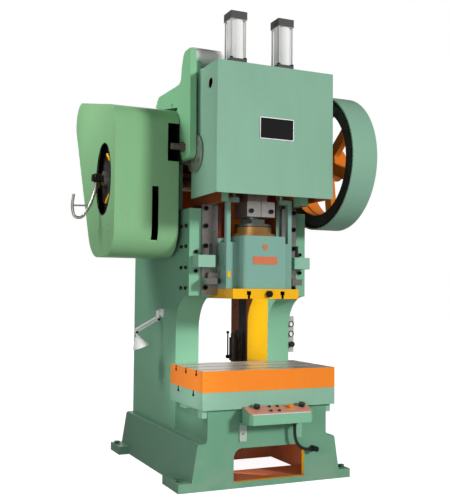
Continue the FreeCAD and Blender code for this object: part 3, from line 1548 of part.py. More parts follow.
def build_controls():
    back = -S.bolster_deep / 2 - 2
    plan = [
        (S.box_left, back),
        (S.box_left, S.box_front + S.box_chamfer, 12),
        (S.box_left + S.box_chamfer, S.box_front, 12),
        (S.box_right - 34, S.box_front, 30),
        (S.box_right, S.box_front + 40, 20),
        (S.box_right, back),
    ]
    block = prism("plan", (S.box_bottom, panel_point(S.base_front) + 30), plan)
    above = prism("side", (S.box_left - 1, S.box_right + 1), [
        (S.box_front - 1, panel_point(S.box_front - 1)),
        (S.base_front + 1, panel_point(S.base_front + 1)),
        (S.base_front + 1, panel_point(S.base_front + 1) + 60),
        (S.box_front - 1, panel_point(S.box_front - 1) + 100),
    ])
    thin = S.panel_thick
    room = prism("plan", (S.box_bottom + thin, panel_point(S.base_front) + 40), [
        (S.box_left + thin, back - thin),
        (S.box_left + thin, S.box_front + S.box_chamfer + 3),
        (S.box_left + S.box_chamfer + 3, S.box_front + thin),
        (S.box_right - 38, S.box_front + thin),
        (S.box_right - thin, S.box_front + 44),
        (S.box_right - thin, back - thin),
    ])
    gland_hole = rod("z", (S.box_bottom - 1, S.box_bottom + thin + 1),
                     (S.gland_right, S.gland_front), S.conduit_radius)
    lid_plan = prism("plan", (S.box_bottom + 20, panel_point(S.base_front) + 40), [
        (S.box_left + 4, back),
        (S.box_left + 4, S.box_front + S.box_chamfer + 3, 10),
        (S.box_left + S.box_chamfer + 3, S.box_front + 4, 10),
        (S.box_right - 36, S.box_front + 4, 28),
        (S.box_right - 4, S.box_front + 42, 18),
        (S.box_right - 4, back),
    ])
    band = prism("side", (S.box_left, S.box_right), [
        (S.box_front - 1, panel_point(S.box_front - 1)),
        (S.base_front, panel_point(S.base_front)),
        (S.base_front, panel_point(S.base_front, thin)),
        (S.box_front - 1, panel_point(S.box_front - 1, thin)),
    ])
    lid = doc.addObject("Part::Common", "lid")
    lid.Base = lid_plan
    lid.Tool = band
    holes = []
    for name, (x, y) in BUTTONS.items():
        bore = S.palm_radius - 6 if "palm" in name else S.button_radius - 2
        bore = S.stop_radius - 8 if "stop" in name else bore
        holes.append(on_panel(x, y, -20, 20, bore + S.running_gap))
    node("control_panel", cut(lid, *holes))
    face = thin * cosine(S.panel_slope)
    for name, (x, y) in BUTTONS.items():
        if "palm" in name:
            stem, cap, travel, high = S.palm_radius - 6, S.palm_radius, S.palm_travel, 20
        elif "stop" in name:
            stem, cap, travel, high = S.stop_radius - 8, S.stop_radius, S.palm_travel, 14
        else:
            stem, cap, travel, high = S.button_radius - 2, S.button_radius, S.button_travel, 6
        low = face + travel + 1
        node(name, fuse(on_panel(x, y, -14, low + 2, stem), on_panel(x, y, low, low + high, cap)))
    angles = []
    for side in (-1, 1):
        near = S.box_left - 6 if side < 0 else S.box_right - 16 - S.angle_wide
        span = (near, near + S.angle_wide)
        upright = box(span, (S.base_front - S.angle_thick, S.base_front), (S.angle_low, S.box_bottom))
        shelf = box(span, (S.base_front - 110, S.base_front),
                    (S.box_bottom - S.angle_thick, S.box_bottom))
        angles.append(fuse(upright, shelf))
    spacer = box((S.box_left + 40, S.box_right - 70), (back - 1, S.base_front),
                 (S.box_bottom, S.bed_top - 12))
    node("control_box", fuse(cut(block, above, room, gland_hole), spacer, *angles))


def build_conduit():
    """Hose from the box's underside to an elbow on the base's front, in one slow bend."""
    top = S.box_bottom - S.gland_long
    upper = rod("z", (top, S.box_bottom), (S.gland_right, S.gland_front), S.gland_radius)
    upper_bore = rod("z", (top + 10, S.box_bottom + 1), (S.gland_right, S.gland_front),
                     S.conduit_radius)
    elbow_axis = S.base_front - S.elbow_out
    stem = rod("y", (elbow_axis - S.gland_radius, S.base_front), (S.elbow_right, S.elbow_height),
               S.gland_radius)
    mouth = rod("x", (S.elbow_right - S.elbow_long, S.elbow_right),
                (elbow_axis, S.elbow_height), S.gland_radius - 2)
    node("conduit_glands", group(cut(upper, upper_bore), fuse(stem, mouth)))
    start = Vector(float(S.gland_right), float(S.gland_front), float(top))
    end = Vector(float(S.elbow_right - S.elbow_long), float(elbow_axis), float(S.elbow_height))
    points = [start]
    for along, back, down in CONDUIT_STEPS:
        points.append(Vector(start.x + (end.x - start.x) * along,
                             start.y + (end.y - start.y) * back,
                             start.z + (end.z - start.z) * down))
    points.append(end)
    path = smooth_path(points, "conduit")
    tube = sweep_round(path, points, float(S.conduit_radius))
    node("conduit", shaped(tube))


# ---------------------------------------------------------------- air panel, lamp, pump

def build_air_panel():
    right = S.column_half_width
    x = (right, right + S.air_panel_half_thick * 2)
    y = (S.throat_face + 20, S.throat_face + 20 + S.air_panel_deep)
    plate = box(x, y, (S.air_panel_low, S.air_panel_high))
    middle = right + S.air_panel_half_thick
    gauges = []
    for height in (gauge_upper, gauge_lower):
        bezel = rod("y", (y[0] - 14, y[0]), (middle, height), S.gauge_radius)
        dish = rod("y", (y[0] - 15, y[0] - 8), (middle, height), S.gauge_radius - 4)
        gauges.append(cut(bezel, dish))
    node("air_panel", fuse(plate, *gauges))
    stem = rod("y", (y[0] - 10, y[0]), (middle, knob_height), 9)
    grip = rod("y", (y[0] - 36, y[0] - 8), (middle, knob_height), S.knob_radius)
    node("regulator_knob", fuse(stem, grip))


def build_lamp():
    wall = -S.column_half_width
    y, z = S.lamp_behind, S.lamp_height
    half = S.lamp_base_half
    flange = box((wall - 8, wall), (y - half, y + half),
                 (z - S.lamp_base_high / 2, z + S.lamp_base_high / 2))
    swivel_x = wall - S.lamp_swivel_out
    lug = rod("z", (z - 30, z + 18), (swivel_x, y), 14)
    arm = box((swivel_x - 2, wall), (y - 10, y + 10), (z - 20, z + 10))
    bore = rod("z", (z - 31, z + 19), (swivel_x, y), 7 + S.running_gap)
    node("lamp_base", cut(fuse(flange, lug, arm), bore))
    pin = rod("z", (z - 60, z + 26), (swivel_x, y), 7)
    yoke = box((swivel_x - 12, swivel_x + 12), (y - 12, y + 12), (z - 72, z - 37))
    pivot = rod("y", (y - 13, y + 13), (swivel_x, z - 53), S.lamp_pivot_radius + S.running_gap)
    node("lamp_swivel", cut(fuse(pin, yoke), pivot))
    start = Vector(float(swivel_x), float(y), float(z) - 53)
    end = start + Vector(-float(S.lamp_arm_out), 0, -float(S.lamp_arm_drop))
    direction = end - start
    half_gap = float(S.lamp_bar_gap) / 2
    pieces = []
    for side in (-1, 1):
        shift = Vector(0, half_gap * side, 0)
        for rise in (Vector(0, 0, 0), Vector(0, 0, float(S.lamp_bar_rise))):
            pieces.append(Part.makeCylinder(float(S.lamp_bar_radius), direction.Length,
                                            start + shift + rise, direction))
    for point in (start, end):
        pieces.append(Part.makeCylinder(float(S.lamp_pivot_radius), 2 * half_gap + 12,
                                        point - Vector(0, half_gap + 6, 0), Vector(0, 1, 0)))
        for side in (-1, 1):
            link = point + Vector(-6, half_gap * side - 2, -6)
            pieces.append(Part.makeBox(12, 4, float(S.lamp_bar_rise) + 12, link))
    node("lamp_arm", shaped(pieces[0].multiFuse(pieces[1:]).removeSplitter()))
    return end


def build_lamp_head(end):
    """Spun shade on a knuckle that turns on the arm's lower pivot, with its bulb inside."""
    radius, long = float(S.shade_radius), float(S.shade_long)
    bore_radius = float(S.lamp_pivot_radius) + float(S.running_gap)
    knuckle = Part.makeCylinder(13, 24, end + Vector(0, -12, 0), Vector(0, 1, 0))
    bore = Part.makeCylinder(bore_radius, 60, end + Vector(0, -30, 0), Vector(0, 1, 0))
    tilt = Vector(0.38, 0, -1).normalize()
    neck = Part.makeCylinder(11, 46, end + tilt * 9, tilt)
    top = end + tilt * 50
    outer = Part.makeCone(26, radius, long - 40, top, tilt)
    inner = Part.makeCone(23, radius - 3, long - 36, top - tilt * 2, tilt)
    collar = Part.makeCylinder(26, 8, top - tilt * 6, tilt)
    bulb = Part.makeSphere(24, top + tilt * 38).fuse(Part.makeCylinder(13, 38, top, tilt))
    head = outer.cut(inner).multiFuse([collar, neck, knuckle, bulb]).cut(bore)
    node("lamp_head", shaped(head.removeSplitter()))


def build_pump():
    """Hand-operated grease pump on the right column's side plate, with its lever upright."""
    y = S.pump_behind
    low, high = S.pump_low, S.pump_high
    x = outer_plate - 60
    plate = box((outer_plate - 12, outer_plate), (y - 70, y + 70), (low, high))
    body = rod("z", (low + 20, high - 60), (x, y), S.pump_radius)
    web = box((x, outer_plate), (y - 26, y + 26), (low + 40, high - 80))
    head = rod("z", (high - 60, high - 20), (x, y), S.pump_radius - 14)
    pivot_x, pivot_z = x - S.pump_radius - 30, low + 60
    fork = box((pivot_x, x), (y - 12, y + 12), (pivot_z - 14, pivot_z + 14))
    pin = rod("y", (y - 34, y), (pivot_x, pivot_z), 8)
    node("pump_body", fuse(plate, body, web, head, fork, pin))
    eye = rod("y", (y - 34, y - 14), (pivot_x, pivot_z), 18)
    bore = rod("y", (y - 35, y - 13), (pivot_x, pivot_z), 8 + S.running_gap)
    middle = y - 24
    top = pivot_z + S.pump_lever_long
    stick = rod("z", (pivot_z, top), (pivot_x, middle), 7)
    knob = ball(pivot_x, middle, top, 15)
    node("pump_lever", cut(fuse(eye, stick, knob), bore))


def finish():
    doc.recompute()
    for item in doc.Objects:
        if any(word in ("Invalid", "Error") for word in item.State):
            raise RuntimeError(f"{item.Name} ({item.Label}) failed: {item.State}")
    for piece in NODES:
        if piece.Shape.isNull() or not piece.Shape.isValid() or not piece.Shape.Solids:
            raise RuntimeError(f"{piece.Label} has no valid solid")
    os.makedirs("parts", exist_ok=True)
    for piece in NODES:
        piece.Shape.exportStep(f"parts/{piece.Label}.step")
    print(f"{len(NODES)} sub-parts written")


build_base()
build_levelling_screws()
build_columns()
build_crown()
build_bed()
build_cover()
build_crank()
build_bearings()
build_pinion_shaft()
build_flywheel()
build_belts()
build_motor()
build_air_feed()
build_flywheel_guard()
build_side_bracket()
build_gear_guard()
build_slide()
build_rod()
build_collar()
build_gibs()
build_knockout()
build_balancers()
build_tank()
build_controls()
build_conduit()
build_air_panel()
lamp_end = build_lamp()
build_lamp_head(lamp_end)
build_pump()
finish()
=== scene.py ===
import math

import bmesh
import bpy
from mathutils import Euler, Matrix, Vector


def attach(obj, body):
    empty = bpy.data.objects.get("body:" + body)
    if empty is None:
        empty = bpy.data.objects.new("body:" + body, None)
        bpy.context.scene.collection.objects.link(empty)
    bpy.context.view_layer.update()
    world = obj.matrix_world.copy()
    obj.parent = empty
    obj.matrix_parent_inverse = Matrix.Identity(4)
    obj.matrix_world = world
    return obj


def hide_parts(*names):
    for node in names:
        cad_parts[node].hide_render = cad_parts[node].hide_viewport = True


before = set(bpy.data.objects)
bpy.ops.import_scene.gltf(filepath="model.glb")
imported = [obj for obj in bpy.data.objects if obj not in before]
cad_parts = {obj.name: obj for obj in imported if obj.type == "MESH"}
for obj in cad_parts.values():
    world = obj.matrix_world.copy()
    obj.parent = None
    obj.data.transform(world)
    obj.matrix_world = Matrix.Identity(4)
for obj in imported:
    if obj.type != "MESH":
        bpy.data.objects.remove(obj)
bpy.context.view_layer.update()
bpy.context.scene.view_settings.view_transform = "Standard"

SLIDE_AXIS = -588.375


def at(x, y, z):
    """A point given in millimetres from the slide's axis and the floor, in the frame's metres."""
    return Vector((x / 1000, (y + SLIDE_AXIS) / 1000, z / 1000))


def mm(value):
    return value / 1000


# ---------------------------------------------------------------- camera and conduit

CAMERA_PLACE = (-2791.6, -5696.9, 1457.8)
CAMERA_ANGLES = (24.12, 2.99, 0.55)
FOCAL_PIXELS = 792.4
PICTURE_HEIGHT = 500
SENSOR_WIDTH = 36


def point_camera():
    """Low three-quarter view from the machine's left front."""
    yaw, pitch, roll = (math.radians(angle) for angle in CAMERA_ANGLES)
    ahead = Vector((math.sin(yaw) * math.cos(pitch), math.cos(yaw) * math.cos(pitch),
                    math.sin(pitch)))
    level_right = Vector((math.cos(yaw), -math.sin(yaw), 0))
    level_up = level_right.cross(ahead)
    right = level_right * math.cos(roll) + level_up * math.sin(roll)
    up = level_up * math.cos(roll) - level_right * math.sin(roll)
    lens = bpy.data.cameras.new("photo_view")
    lens.sensor_width = SENSOR_WIDTH
    lens.lens = FOCAL_PIXELS * SENSOR_WIDTH / PICTURE_HEIGHT
    lens.clip_end = 100
    camera = bpy.data.objects.new("photo_view", lens)
    turn = Matrix((right, up, -ahead)).transposed().to_4x4()
    camera.matrix_world = Matrix.Translation(at(*CAMERA_PLACE)) @ turn
    bpy.context.collection.objects.link(camera)
    bpy.context.scene.camera = camera


point_camera()

CONDUIT_ROUTE = (
    at(190, -365, 461),
    at(190, -365, 362.5),
    at(210.3, -361.9, 313.1),
    at(248.1, -356.3, 275.4),
    at(296.8, -352.5, 255),
    at(343, -352.5, 255),
)
CONDUIT_RADIUS = 12.5


def lay_conduit():
    line = bpy.data.curves.new("control_conduit", "CURVE")
    line.dimensions = "3D"
    spline = line.splines.new("NURBS")
    spline.points.add(len(CONDUIT_ROUTE) - 1)
    for point, place in zip(spline.points, CONDUIT_ROUTE):
        point.co = (*place, 1)
    spline.order_u = 3
    spline.use_endpoint_u = True
    spline.resolution_u = 12
    line.bevel_depth = mm(CONDUIT_RADIUS)
    line.bevel_resolution = 6
    line.use_fill_caps = True
    hose = bpy.data.objects.new("control_conduit", line)
    bpy.context.collection.objects.link(hose)
    return hose


conduit = lay_conduit()
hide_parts("conduit")
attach(conduit, "frame")


# ---------------------------------------------------------------- studio

WALL_LIGHT = 0.62
CEILING_LIGHT = 0.10
BRIGHT_SIDE = (0.6, -0.8, 0.0)
BACKDROP_EDGE = (0.899, -0.438, 0.0)
DARK_SIDE_SHARE = 0.08
# The limits of each fade, in the world direction's component along it, from -1 to 1.
CEILING_FADE = (0.0, 0.6)
SIDE_FADE = (-0.6, 0.5)
BACKDROP_FADE = (-0.03, 0.05)
BACKDROP_FAR_FADE = (-0.5, -0.3)
BACKDROP_REAR_FADE = (0.3, 0.6)
FLOOR_GLOW = 0.92
KEY_DIRECTION = (0.50, -0.80, 0.34)
KEY_STRENGTH = 2.55
KEY_SOFTNESS = 9
# Name, place, target, size and strength.
SOFT_BOXES = (
    ("front_box", (-2.4, -2.9, 1.3), (0.0, -0.6, 1.2), 1.2, 24),
    ("guard_box", (-2.9, 0.3, 3.6), (-1.1, 0.3, 2.4), 1.0, 54),
    ("recess_box", (-0.1, -0.72, 0.09), (0.12, -0.4, 0.5), 0.3, 1.9),
    ("web_box", (-0.22, -0.12, 1.30), (0.317, -0.06, 1.25), 0.45, 3.3),
)
# Name, place, target, cone and strength.
SPOTS = (
    ("bolster_spot", (-2.6, -2.2, 0.95), (-0.56, -0.6, 0.76), 17, 150),
)
SPOT_BLEND = 0.7
SPOT_SOFTNESS = 0.1


def put(socket, value):
    """Links a node's output to the socket, or sets a plain value on it."""
    if isinstance(value, bpy.types.NodeSocket):
        socket.id_data.links.new(value, socket)
    else:
        socket.default_value = value


def reckon(tree, operation, first, second=0.0, third=0.0, clamp=False):
    node = tree.nodes.new("ShaderNodeMath")
    node.operation = operation
    node.use_clamp = clamp
    for socket, value in zip(node.inputs, (first, second, third)):
        put(socket, value)
    return node.outputs[0]


def vector_math(tree, operation, first, second=None):
    node = tree.nodes.new("ShaderNodeVectorMath")
    node.operation = operation
    put(node.inputs[0], first)
    if second is not None:
        put(node.inputs[1], second)
    return node.outputs["Value" if operation in ("DOT_PRODUCT", "LENGTH") else "Vector"]


def split(tree, vector):
    node = tree.nodes.new("ShaderNodeSeparateXYZ")
    put(node.inputs[0], vector)
    return node.outputs


def ramp(tree, value, low, high, bottom=0.0, top=1.0):
    node = tree.nodes.new("ShaderNodeMapRange")
    node.interpolation_type = "SMOOTHSTEP"
    for title, amount in (("Value", value), ("From Min", low), ("From Max", high),
                          ("To Min", bottom), ("To Max", top)):
        put(node.inputs[title], amount)
    return node.outputs["Result"]


def white_to_camera(tree, shown, other, strength):
    """Shows one strength to the camera and through glass, and the other one to everything else."""
    path = tree.nodes.new("ShaderNodeLightPath").outputs
    seen = reckon(tree, "MAXIMUM", path["Is Camera Ray"], path["Is Transmission Ray"])
    mix = tree.nodes.new("ShaderNodeMapRange")
    for title, amount in (("Value", seen), ("To Min", other), ("To Max", shown)):
        put(mix.inputs[title], amount)
    put(strength, mix.outputs["Result"])


def add_lamp(name, kind, place, direction, strength):
    lamp = bpy.data.lights.new(name, kind)
    lamp.energy = strength
    holder = bpy.data.objects.new(name, lamp)
    holder.location = place
    holder.rotation_euler = Vector(direction).to_track_quat("Z", "Y").to_euler()
    bpy.context.collection.objects.link(holder)
    return lamp


def light_studio():
    """White walls that fade upward and to the machine's left, a key, soft boxes and a spot."""
    world = bpy.data.worlds.new("studio")
    world.use_nodes = True
    tree = world.node_tree
    background = tree.nodes["Background"]
    background.inputs["Color"].default_value = (1, 1, 1, 1)
    direction = tree.nodes.new("ShaderNodeTexCoord").outputs["Generated"]
    heading = split(tree, direction)
    side = vector_math(tree, "DOT_PRODUCT", direction, BRIGHT_SIDE)
    walls = ramp(tree, heading["Z"], *CEILING_FADE, WALL_LIGHT, CEILING_LIGHT)
    share = ramp(tree, side, *SIDE_FADE, DARK_SIDE_SHARE, 1.0)
    behind = vector_math(tree, "DOT_PRODUCT", direction, BACKDROP_EDGE)
    backdrop = ramp(tree, behind, *BACKDROP_FADE, 1.0, 0.0)
    for value, fade in ((behind, BACKDROP_FAR_FADE), (heading["Y"], BACKDROP_REAR_FADE)):
        backdrop = reckon(tree, "MULTIPLY", backdrop, ramp(tree, value, *fade))
    lit = reckon(tree, "MAXIMUM", reckon(tree, "MULTIPLY", walls, share), backdrop)
    white_to_camera(tree, 1.0, lit, background.inputs["Strength"])
    bpy.context.scene.world = world
    key = add_lamp("key", "SUN", (0, 0, 0), KEY_DIRECTION, KEY_STRENGTH)
    key.angle = math.radians(KEY_SOFTNESS)
    bpy.data.objects["key"].visible_glossy = False
    for name, place, target, size, strength in SOFT_BOXES:
        box = add_lamp(name, "AREA", place, Vector(place) - Vector(target), strength)
        box.size = size
        bpy.data.objects[name].visible_camera = False
    for name, place, target, cone, strength in SPOTS:
        spot = add_lamp(name, "SPOT", place, Vector(place) - Vector(target), strength)
        spot.spot_size = math.radians(cone)
        spot.spot_blend = SPOT_BLEND
        spot.shadow_soft_size = SPOT_SOFTNESS


def lay_floor():
    bpy.ops.object.select_all(action="DESELECT")
    bpy.ops.mesh.primitive_plane_add(size=60, location=(0, 0, 0))
    floor = bpy.context.object
    floor.name = "studio_floor"
    paint = bpy.data.materials.new("studio_floor")
    paint.use_nodes = True
    tree = paint.node_tree
    shader = tree.nodes["Principled BSDF"]
    shader.inputs["Base Color"].default_value = (0.5, 0.5, 0.5, 1)
    shader.inputs["Roughness"].default_value = 0.9
    shader.inputs["Emission Color"].default_value = (1, 1, 1, 1)
    white_to_camera(tree, FLOOR_GLOW, 0.0, shader.inputs["Emission Strength"])
    floor.data.materials.append(paint)


light_studio()
lay_floor()


# ---------------------------------------------------------------- shared shader groups

def new_group(name, takes, gives):
    """A shader group with its named sockets, its input node and its output node."""
    tree = bpy.data.node_groups.new(name, "ShaderNodeTree")
    for title, kind, value in takes:
        socket = tree.interface.new_socket(title, in_out="INPUT", socket_type=kind)
        socket.default_value = value
    for title, kind in gives:
        tree.interface.new_socket(title, in_out="OUTPUT", socket_type=kind)
    return tree, tree.nodes.new("NodeGroupInput"), tree.nodes.new("NodeGroupOutput")


def blend_colour(tree, share, first, second, way="MIX"):
    node = tree.nodes.new("ShaderNodeMix")
    node.data_type = "RGBA"
    node.blend_type = way
    put(node.inputs[0], share)
    for socket, value in zip((node.inputs[6], node.inputs[7]), (first, second)):
        put(socket, value)
    return node.outputs[2]


def grain(tree, place, scale, detail=3.0, rough=0.5):
    node = tree.nodes.new("ShaderNodeTexNoise")
    put(node.inputs["Vector"], place)
    put(node.inputs["Scale"], scale)
    put(node.inputs["Detail"], detail)
    put(node.inputs["Roughness"], rough)
    return node.outputs["Fac"]


def object_place(tree):
    return tree.nodes.new("ShaderNodeTexCoord").outputs["Object"]


def make_rounded_edges():
    """Softens hard plate edges in the light and finds where paint rubs thin."""
    tree, takes, gives = new_group(
        "rounded_edges",
        [("Radius", "NodeSocketFloat", 0.004), ("Wear", "NodeSocketFloat", 0.5)],
        [("Normal", "NodeSocketVector"), ("Mask", "NodeSocketFloat")])
    bevel = tree.nodes.new("ShaderNodeBevel")
    bevel.samples = 4
    put(bevel.inputs["Radius"], takes.outputs["Radius"])
    flat = tree.nodes.new("ShaderNodeNewGeometry").outputs["Normal"]
    agreement = vector_math(tree, "DOT_PRODUCT", bevel.outputs["Normal"], flat)
    turned = reckon(tree, "SUBTRACT", 1.0, agreement, clamp=True)
    place = object_place(tree)
    rubbed = ramp(tree, grain(tree, place, 9.0, 5.0, 0.65), 0.46, 0.62)
    edge = ramp(tree, turned, 0.02, 0.16)
    mask = reckon(tree, "MULTIPLY", reckon(tree, "MULTIPLY", edge, rubbed),
                  takes.outputs["Wear"], clamp=True)
    put(gives.inputs["Normal"], bevel.outputs["Normal"])
    put(gives.inputs["Mask"], mask)
    return tree


def make_enamel():
    """Sprayed machine enamel: slow tone drift, faint runs, fine orange peel and floor dust."""
    tree, takes, gives = new_group(
        "enamel",
        [("Paint", "NodeSocketColor", (0.2, 0.4, 0.3, 1)),
         ("Drift", "NodeSocketFloat", 0.10),
         ("Dust", "NodeSocketFloat", 0.3)],
        [("Colour", "NodeSocketColor"), ("Roughness", "NodeSocketFloat"),
         ("Height", "NodeSocketFloat")])
    place = object_place(tree)
    clouds = grain(tree, place, 2.2, 4.0, 0.55)
    runs = grain(tree, vector_math(tree, "MULTIPLY", place, (9.0, 9.0, 0.9)), 1.6, 3.0, 0.6)
    tone = reckon(tree, "ADD", clouds, reckon(tree, "MULTIPLY", runs, 0.6))
    shade = reckon(tree, "SUBTRACT", tone, 0.8)
    factor = reckon(tree, "MULTIPLY_ADD", shade, takes.outputs["Drift"], 1.0)
    grey = tree.nodes.new("ShaderNodeCombineXYZ")
    for socket in grey.inputs:
        put(socket, factor)
    tinted = blend_colour(tree, 1.0, takes.outputs["Paint"], grey.outputs[0], "MULTIPLY")
    near_floor = ramp(tree, split(tree, place)["Z"], 0.0, 0.55, 1.0, 0.0)
    normal = tree.nodes.new("ShaderNodeNewGeometry").outputs["Normal"]
    ledge = ramp(tree, split(tree, normal)["Z"], 0.5, 1.0)
    settled = reckon(tree, "MAXIMUM", reckon(tree, "MULTIPLY", near_floor, 0.55),
                     reckon(tree, "MULTIPLY", ledge, 0.8))
    patchy = ramp(tree, grain(tree, place, 7.0, 6.0, 0.65), 0.35, 0.7)
    dusty = reckon(tree, "MULTIPLY", reckon(tree, "MULTIPLY", settled, patchy),
                   takes.outputs["Dust"], clamp=True)
    put(gives.inputs["Colour"], blend_colour(tree, dusty, tinted, (0.36, 0.35, 0.31, 1)))
    smooth = ramp(tree, clouds, 0.3, 0.7, 0.27, 0.38)
    put(gives.inputs["Roughness"], reckon(tree, "MULTIPLY_ADD", dusty, 0.4, smooth, clamp=True))
    peel = grain(tree, place, 260.0, 2.0, 0.5)
    waves = grain(tree, place, 24.0, 2.0, 0.5)
    put(gives.inputs["Height"], reckon(tree, "MULTIPLY_ADD", waves, 1.6, peel))
    return tree


def make_machining():
    """Fine cutter lines along one axis, with faint bands where the oil lies."""
    tree, takes, gives = new_group(
        "machining",
        [("Lines", "NodeSocketVector", (1.0, 60.0, 60.0)),
         ("Metal", "NodeSocketColor", (0.6, 0.6, 0.6, 1)),
         ("Oil", "NodeSocketFloat", 0.4)],
        [("Colour", "NodeSocketColor"), ("Roughness", "NodeSocketFloat"),
         ("Height", "NodeSocketFloat")])
    place = object_place(tree)
    along = vector_math(tree, "MULTIPLY", place, takes.outputs["Lines"])
    lines = grain(tree, along, 14.0, 5.0, 0.7)
    film = ramp(tree, grain(tree, place, 5.0, 5.0, 0.6), 0.45, 0.66)
    oily = reckon(tree, "MULTIPLY", film, takes.outputs["Oil"], clamp=True)
    dark = blend_colour(tree, 1.0, takes.outputs["Metal"], (0.62, 0.56, 0.50, 1), "MULTIPLY")
    bright = blend_colour(tree, ramp(tree, lines, 0.3, 0.7), dark, takes.outputs["Metal"])
    put(gives.inputs["Colour"], blend_colour(tree, oily, bright, dark))
    put(gives.inputs["Roughness"], reckon(tree, "MULTIPLY_ADD", lines, 0.32,
                                          reckon(tree, "MULTIPLY_ADD", oily, -0.12, 0.18)))
    put(gives.inputs["Height"], lines)
    return tree


def make_casting():
    """Sand-cast or forged skin: coarse pits, darker hollows and an oil film."""
    tree, takes, gives = new_group(
        "casting",
        [("Tone", "NodeSocketColor", (0.05, 0.05, 0.05, 1)),
         ("Grit", "NodeSocketFloat", 90.0)],
        [("Colour", "NodeSocketColor"), ("Roughness", "NodeSocketFloat"),
         ("Height", "NodeSocketFloat")])
    place = object_place(tree)
    pits = grain(tree, place, takes.outputs["Grit"], 5.0, 0.6)
    film = ramp(tree, grain(tree, place, 8.0, 4.0, 0.6), 0.4, 0.68)
    lighter = blend_colour(tree, 1.0, takes.outputs["Tone"], (2.0, 1.9, 1.8, 1), "MULTIPLY")
    put(gives.inputs["Colour"], blend_colour(tree, ramp(tree, pits, 0.35, 0.75),
                                             takes.outputs["Tone"], lighter))
    put(gives.inputs["Roughness"], ramp(tree, film, 0.0, 1.0, 0.58, 0.3))
    put(gives.inputs["Height"], pits)
    return tree


def make_inward():
    """Finds the faces of a hollow body that look back at its centre."""
    tree, takes, gives = new_group("inward", [("Centre", "NodeSocketVector", (0, 0, 0))],
                                   [("Mask", "NodeSocketFloat")])
    coordinates = tree.nodes.new("ShaderNodeTexCoord").outputs
    away = vector_math(tree, "SUBTRACT", coordinates["Object"], takes.outputs["Centre"])
    outward = vector_math(tree, "DOT_PRODUCT", coordinates["Normal"], away)
    put(gives.inputs["Mask"], reckon(tree, "LESS_THAN", outward, 0.0))
    return tree


def make_disc():
    """Marks what lies within a radius of an axis along X."""
    tree, takes, gives = new_group(
        "disc", [("Centre", "NodeSocketVector", (0, 0, 0)), ("Radius", "NodeSocketFloat", 0.4)],
        [("Mask", "NodeSocketFloat")])
    away = vector_math(tree, "SUBTRACT", object_place(tree), takes.outputs["Centre"])
    across = vector_math(tree, "MULTIPLY", away, (0, 1, 1))
    put(gives.inputs["Mask"], reckon(tree, "LESS_THAN", vector_math(tree, "LENGTH", across),
                                     takes.outputs["Radius"]))
    return tree


ROUNDED_EDGES = make_rounded_edges()
ENAMEL = make_enamel()
MACHINING = make_machining()
CASTING = make_casting()
INWARD = make_inward()
DISC = make_disc()
BARE_STEEL = (0.42, 0.41, 0.39, 1)
RED_PRIMER = (0.26, 0.072, 0.022, 1)
ORANGE_PRIMER = (0.56, 0.140, 0.018, 1)
BASE_LINING = (0.52, 0.135, 0.040, 1)
SLIDE_EDGE_RED = (0.110, 0.022, 0.012, 1)
SAFETY_YELLOW = (0.95, 0.52, 0.004, 1)
ZONE_FACING = 0.6


def use_group(tree, group, **values):
    node = tree.nodes.new("ShaderNodeGroup")
    node.node_tree = group
    for title, value in values.items():
        put(node.inputs[title.replace("_", " ").capitalize()], value)
    return node


def new_finish(name):
    finish = bpy.data.materials.new(name)
    finish.use_nodes = True
    return finish, finish.node_tree, finish.node_tree.nodes["Principled BSDF"]


def raise_surface(tree, shader, height, distance, base_normal=None, strength=0.35):
    bump = tree.nodes.new("ShaderNodeBump")
    bump.inputs["Strength"].default_value = strength
    bump.inputs["Distance"].default_value = distance
    put(bump.inputs["Height"], height)
    if base_normal is not None:
        put(bump.inputs["Normal"], base_normal)
    put(shader.inputs["Normal"], bump.outputs["Normal"])


def zone_mask(tree, low, high, toward=None):
    """1 inside a box given in press millimetres, and only on faces turned that way when asked."""
    parts = split(tree, object_place(tree))
    mask = None
    for axis, start, end in zip("XYZ", at(*low), at(*high)):
        for operation, edge in (("GREATER_THAN", start), ("LESS_THAN", end)):
            inside = reckon(tree, operation, parts[axis], edge)
            mask = inside if mask is None else reckon(tree, "MULTIPLY", mask, inside)
    if toward is not None:
        normal = tree.nodes.new("ShaderNodeTexCoord").outputs["Normal"]
        turned = vector_math(tree, "DOT_PRODUCT", normal, toward)
        mask = reckon(tree, "MULTIPLY", mask, reckon(tree, "GREATER_THAN", turned, ZONE_FACING))
    return mask


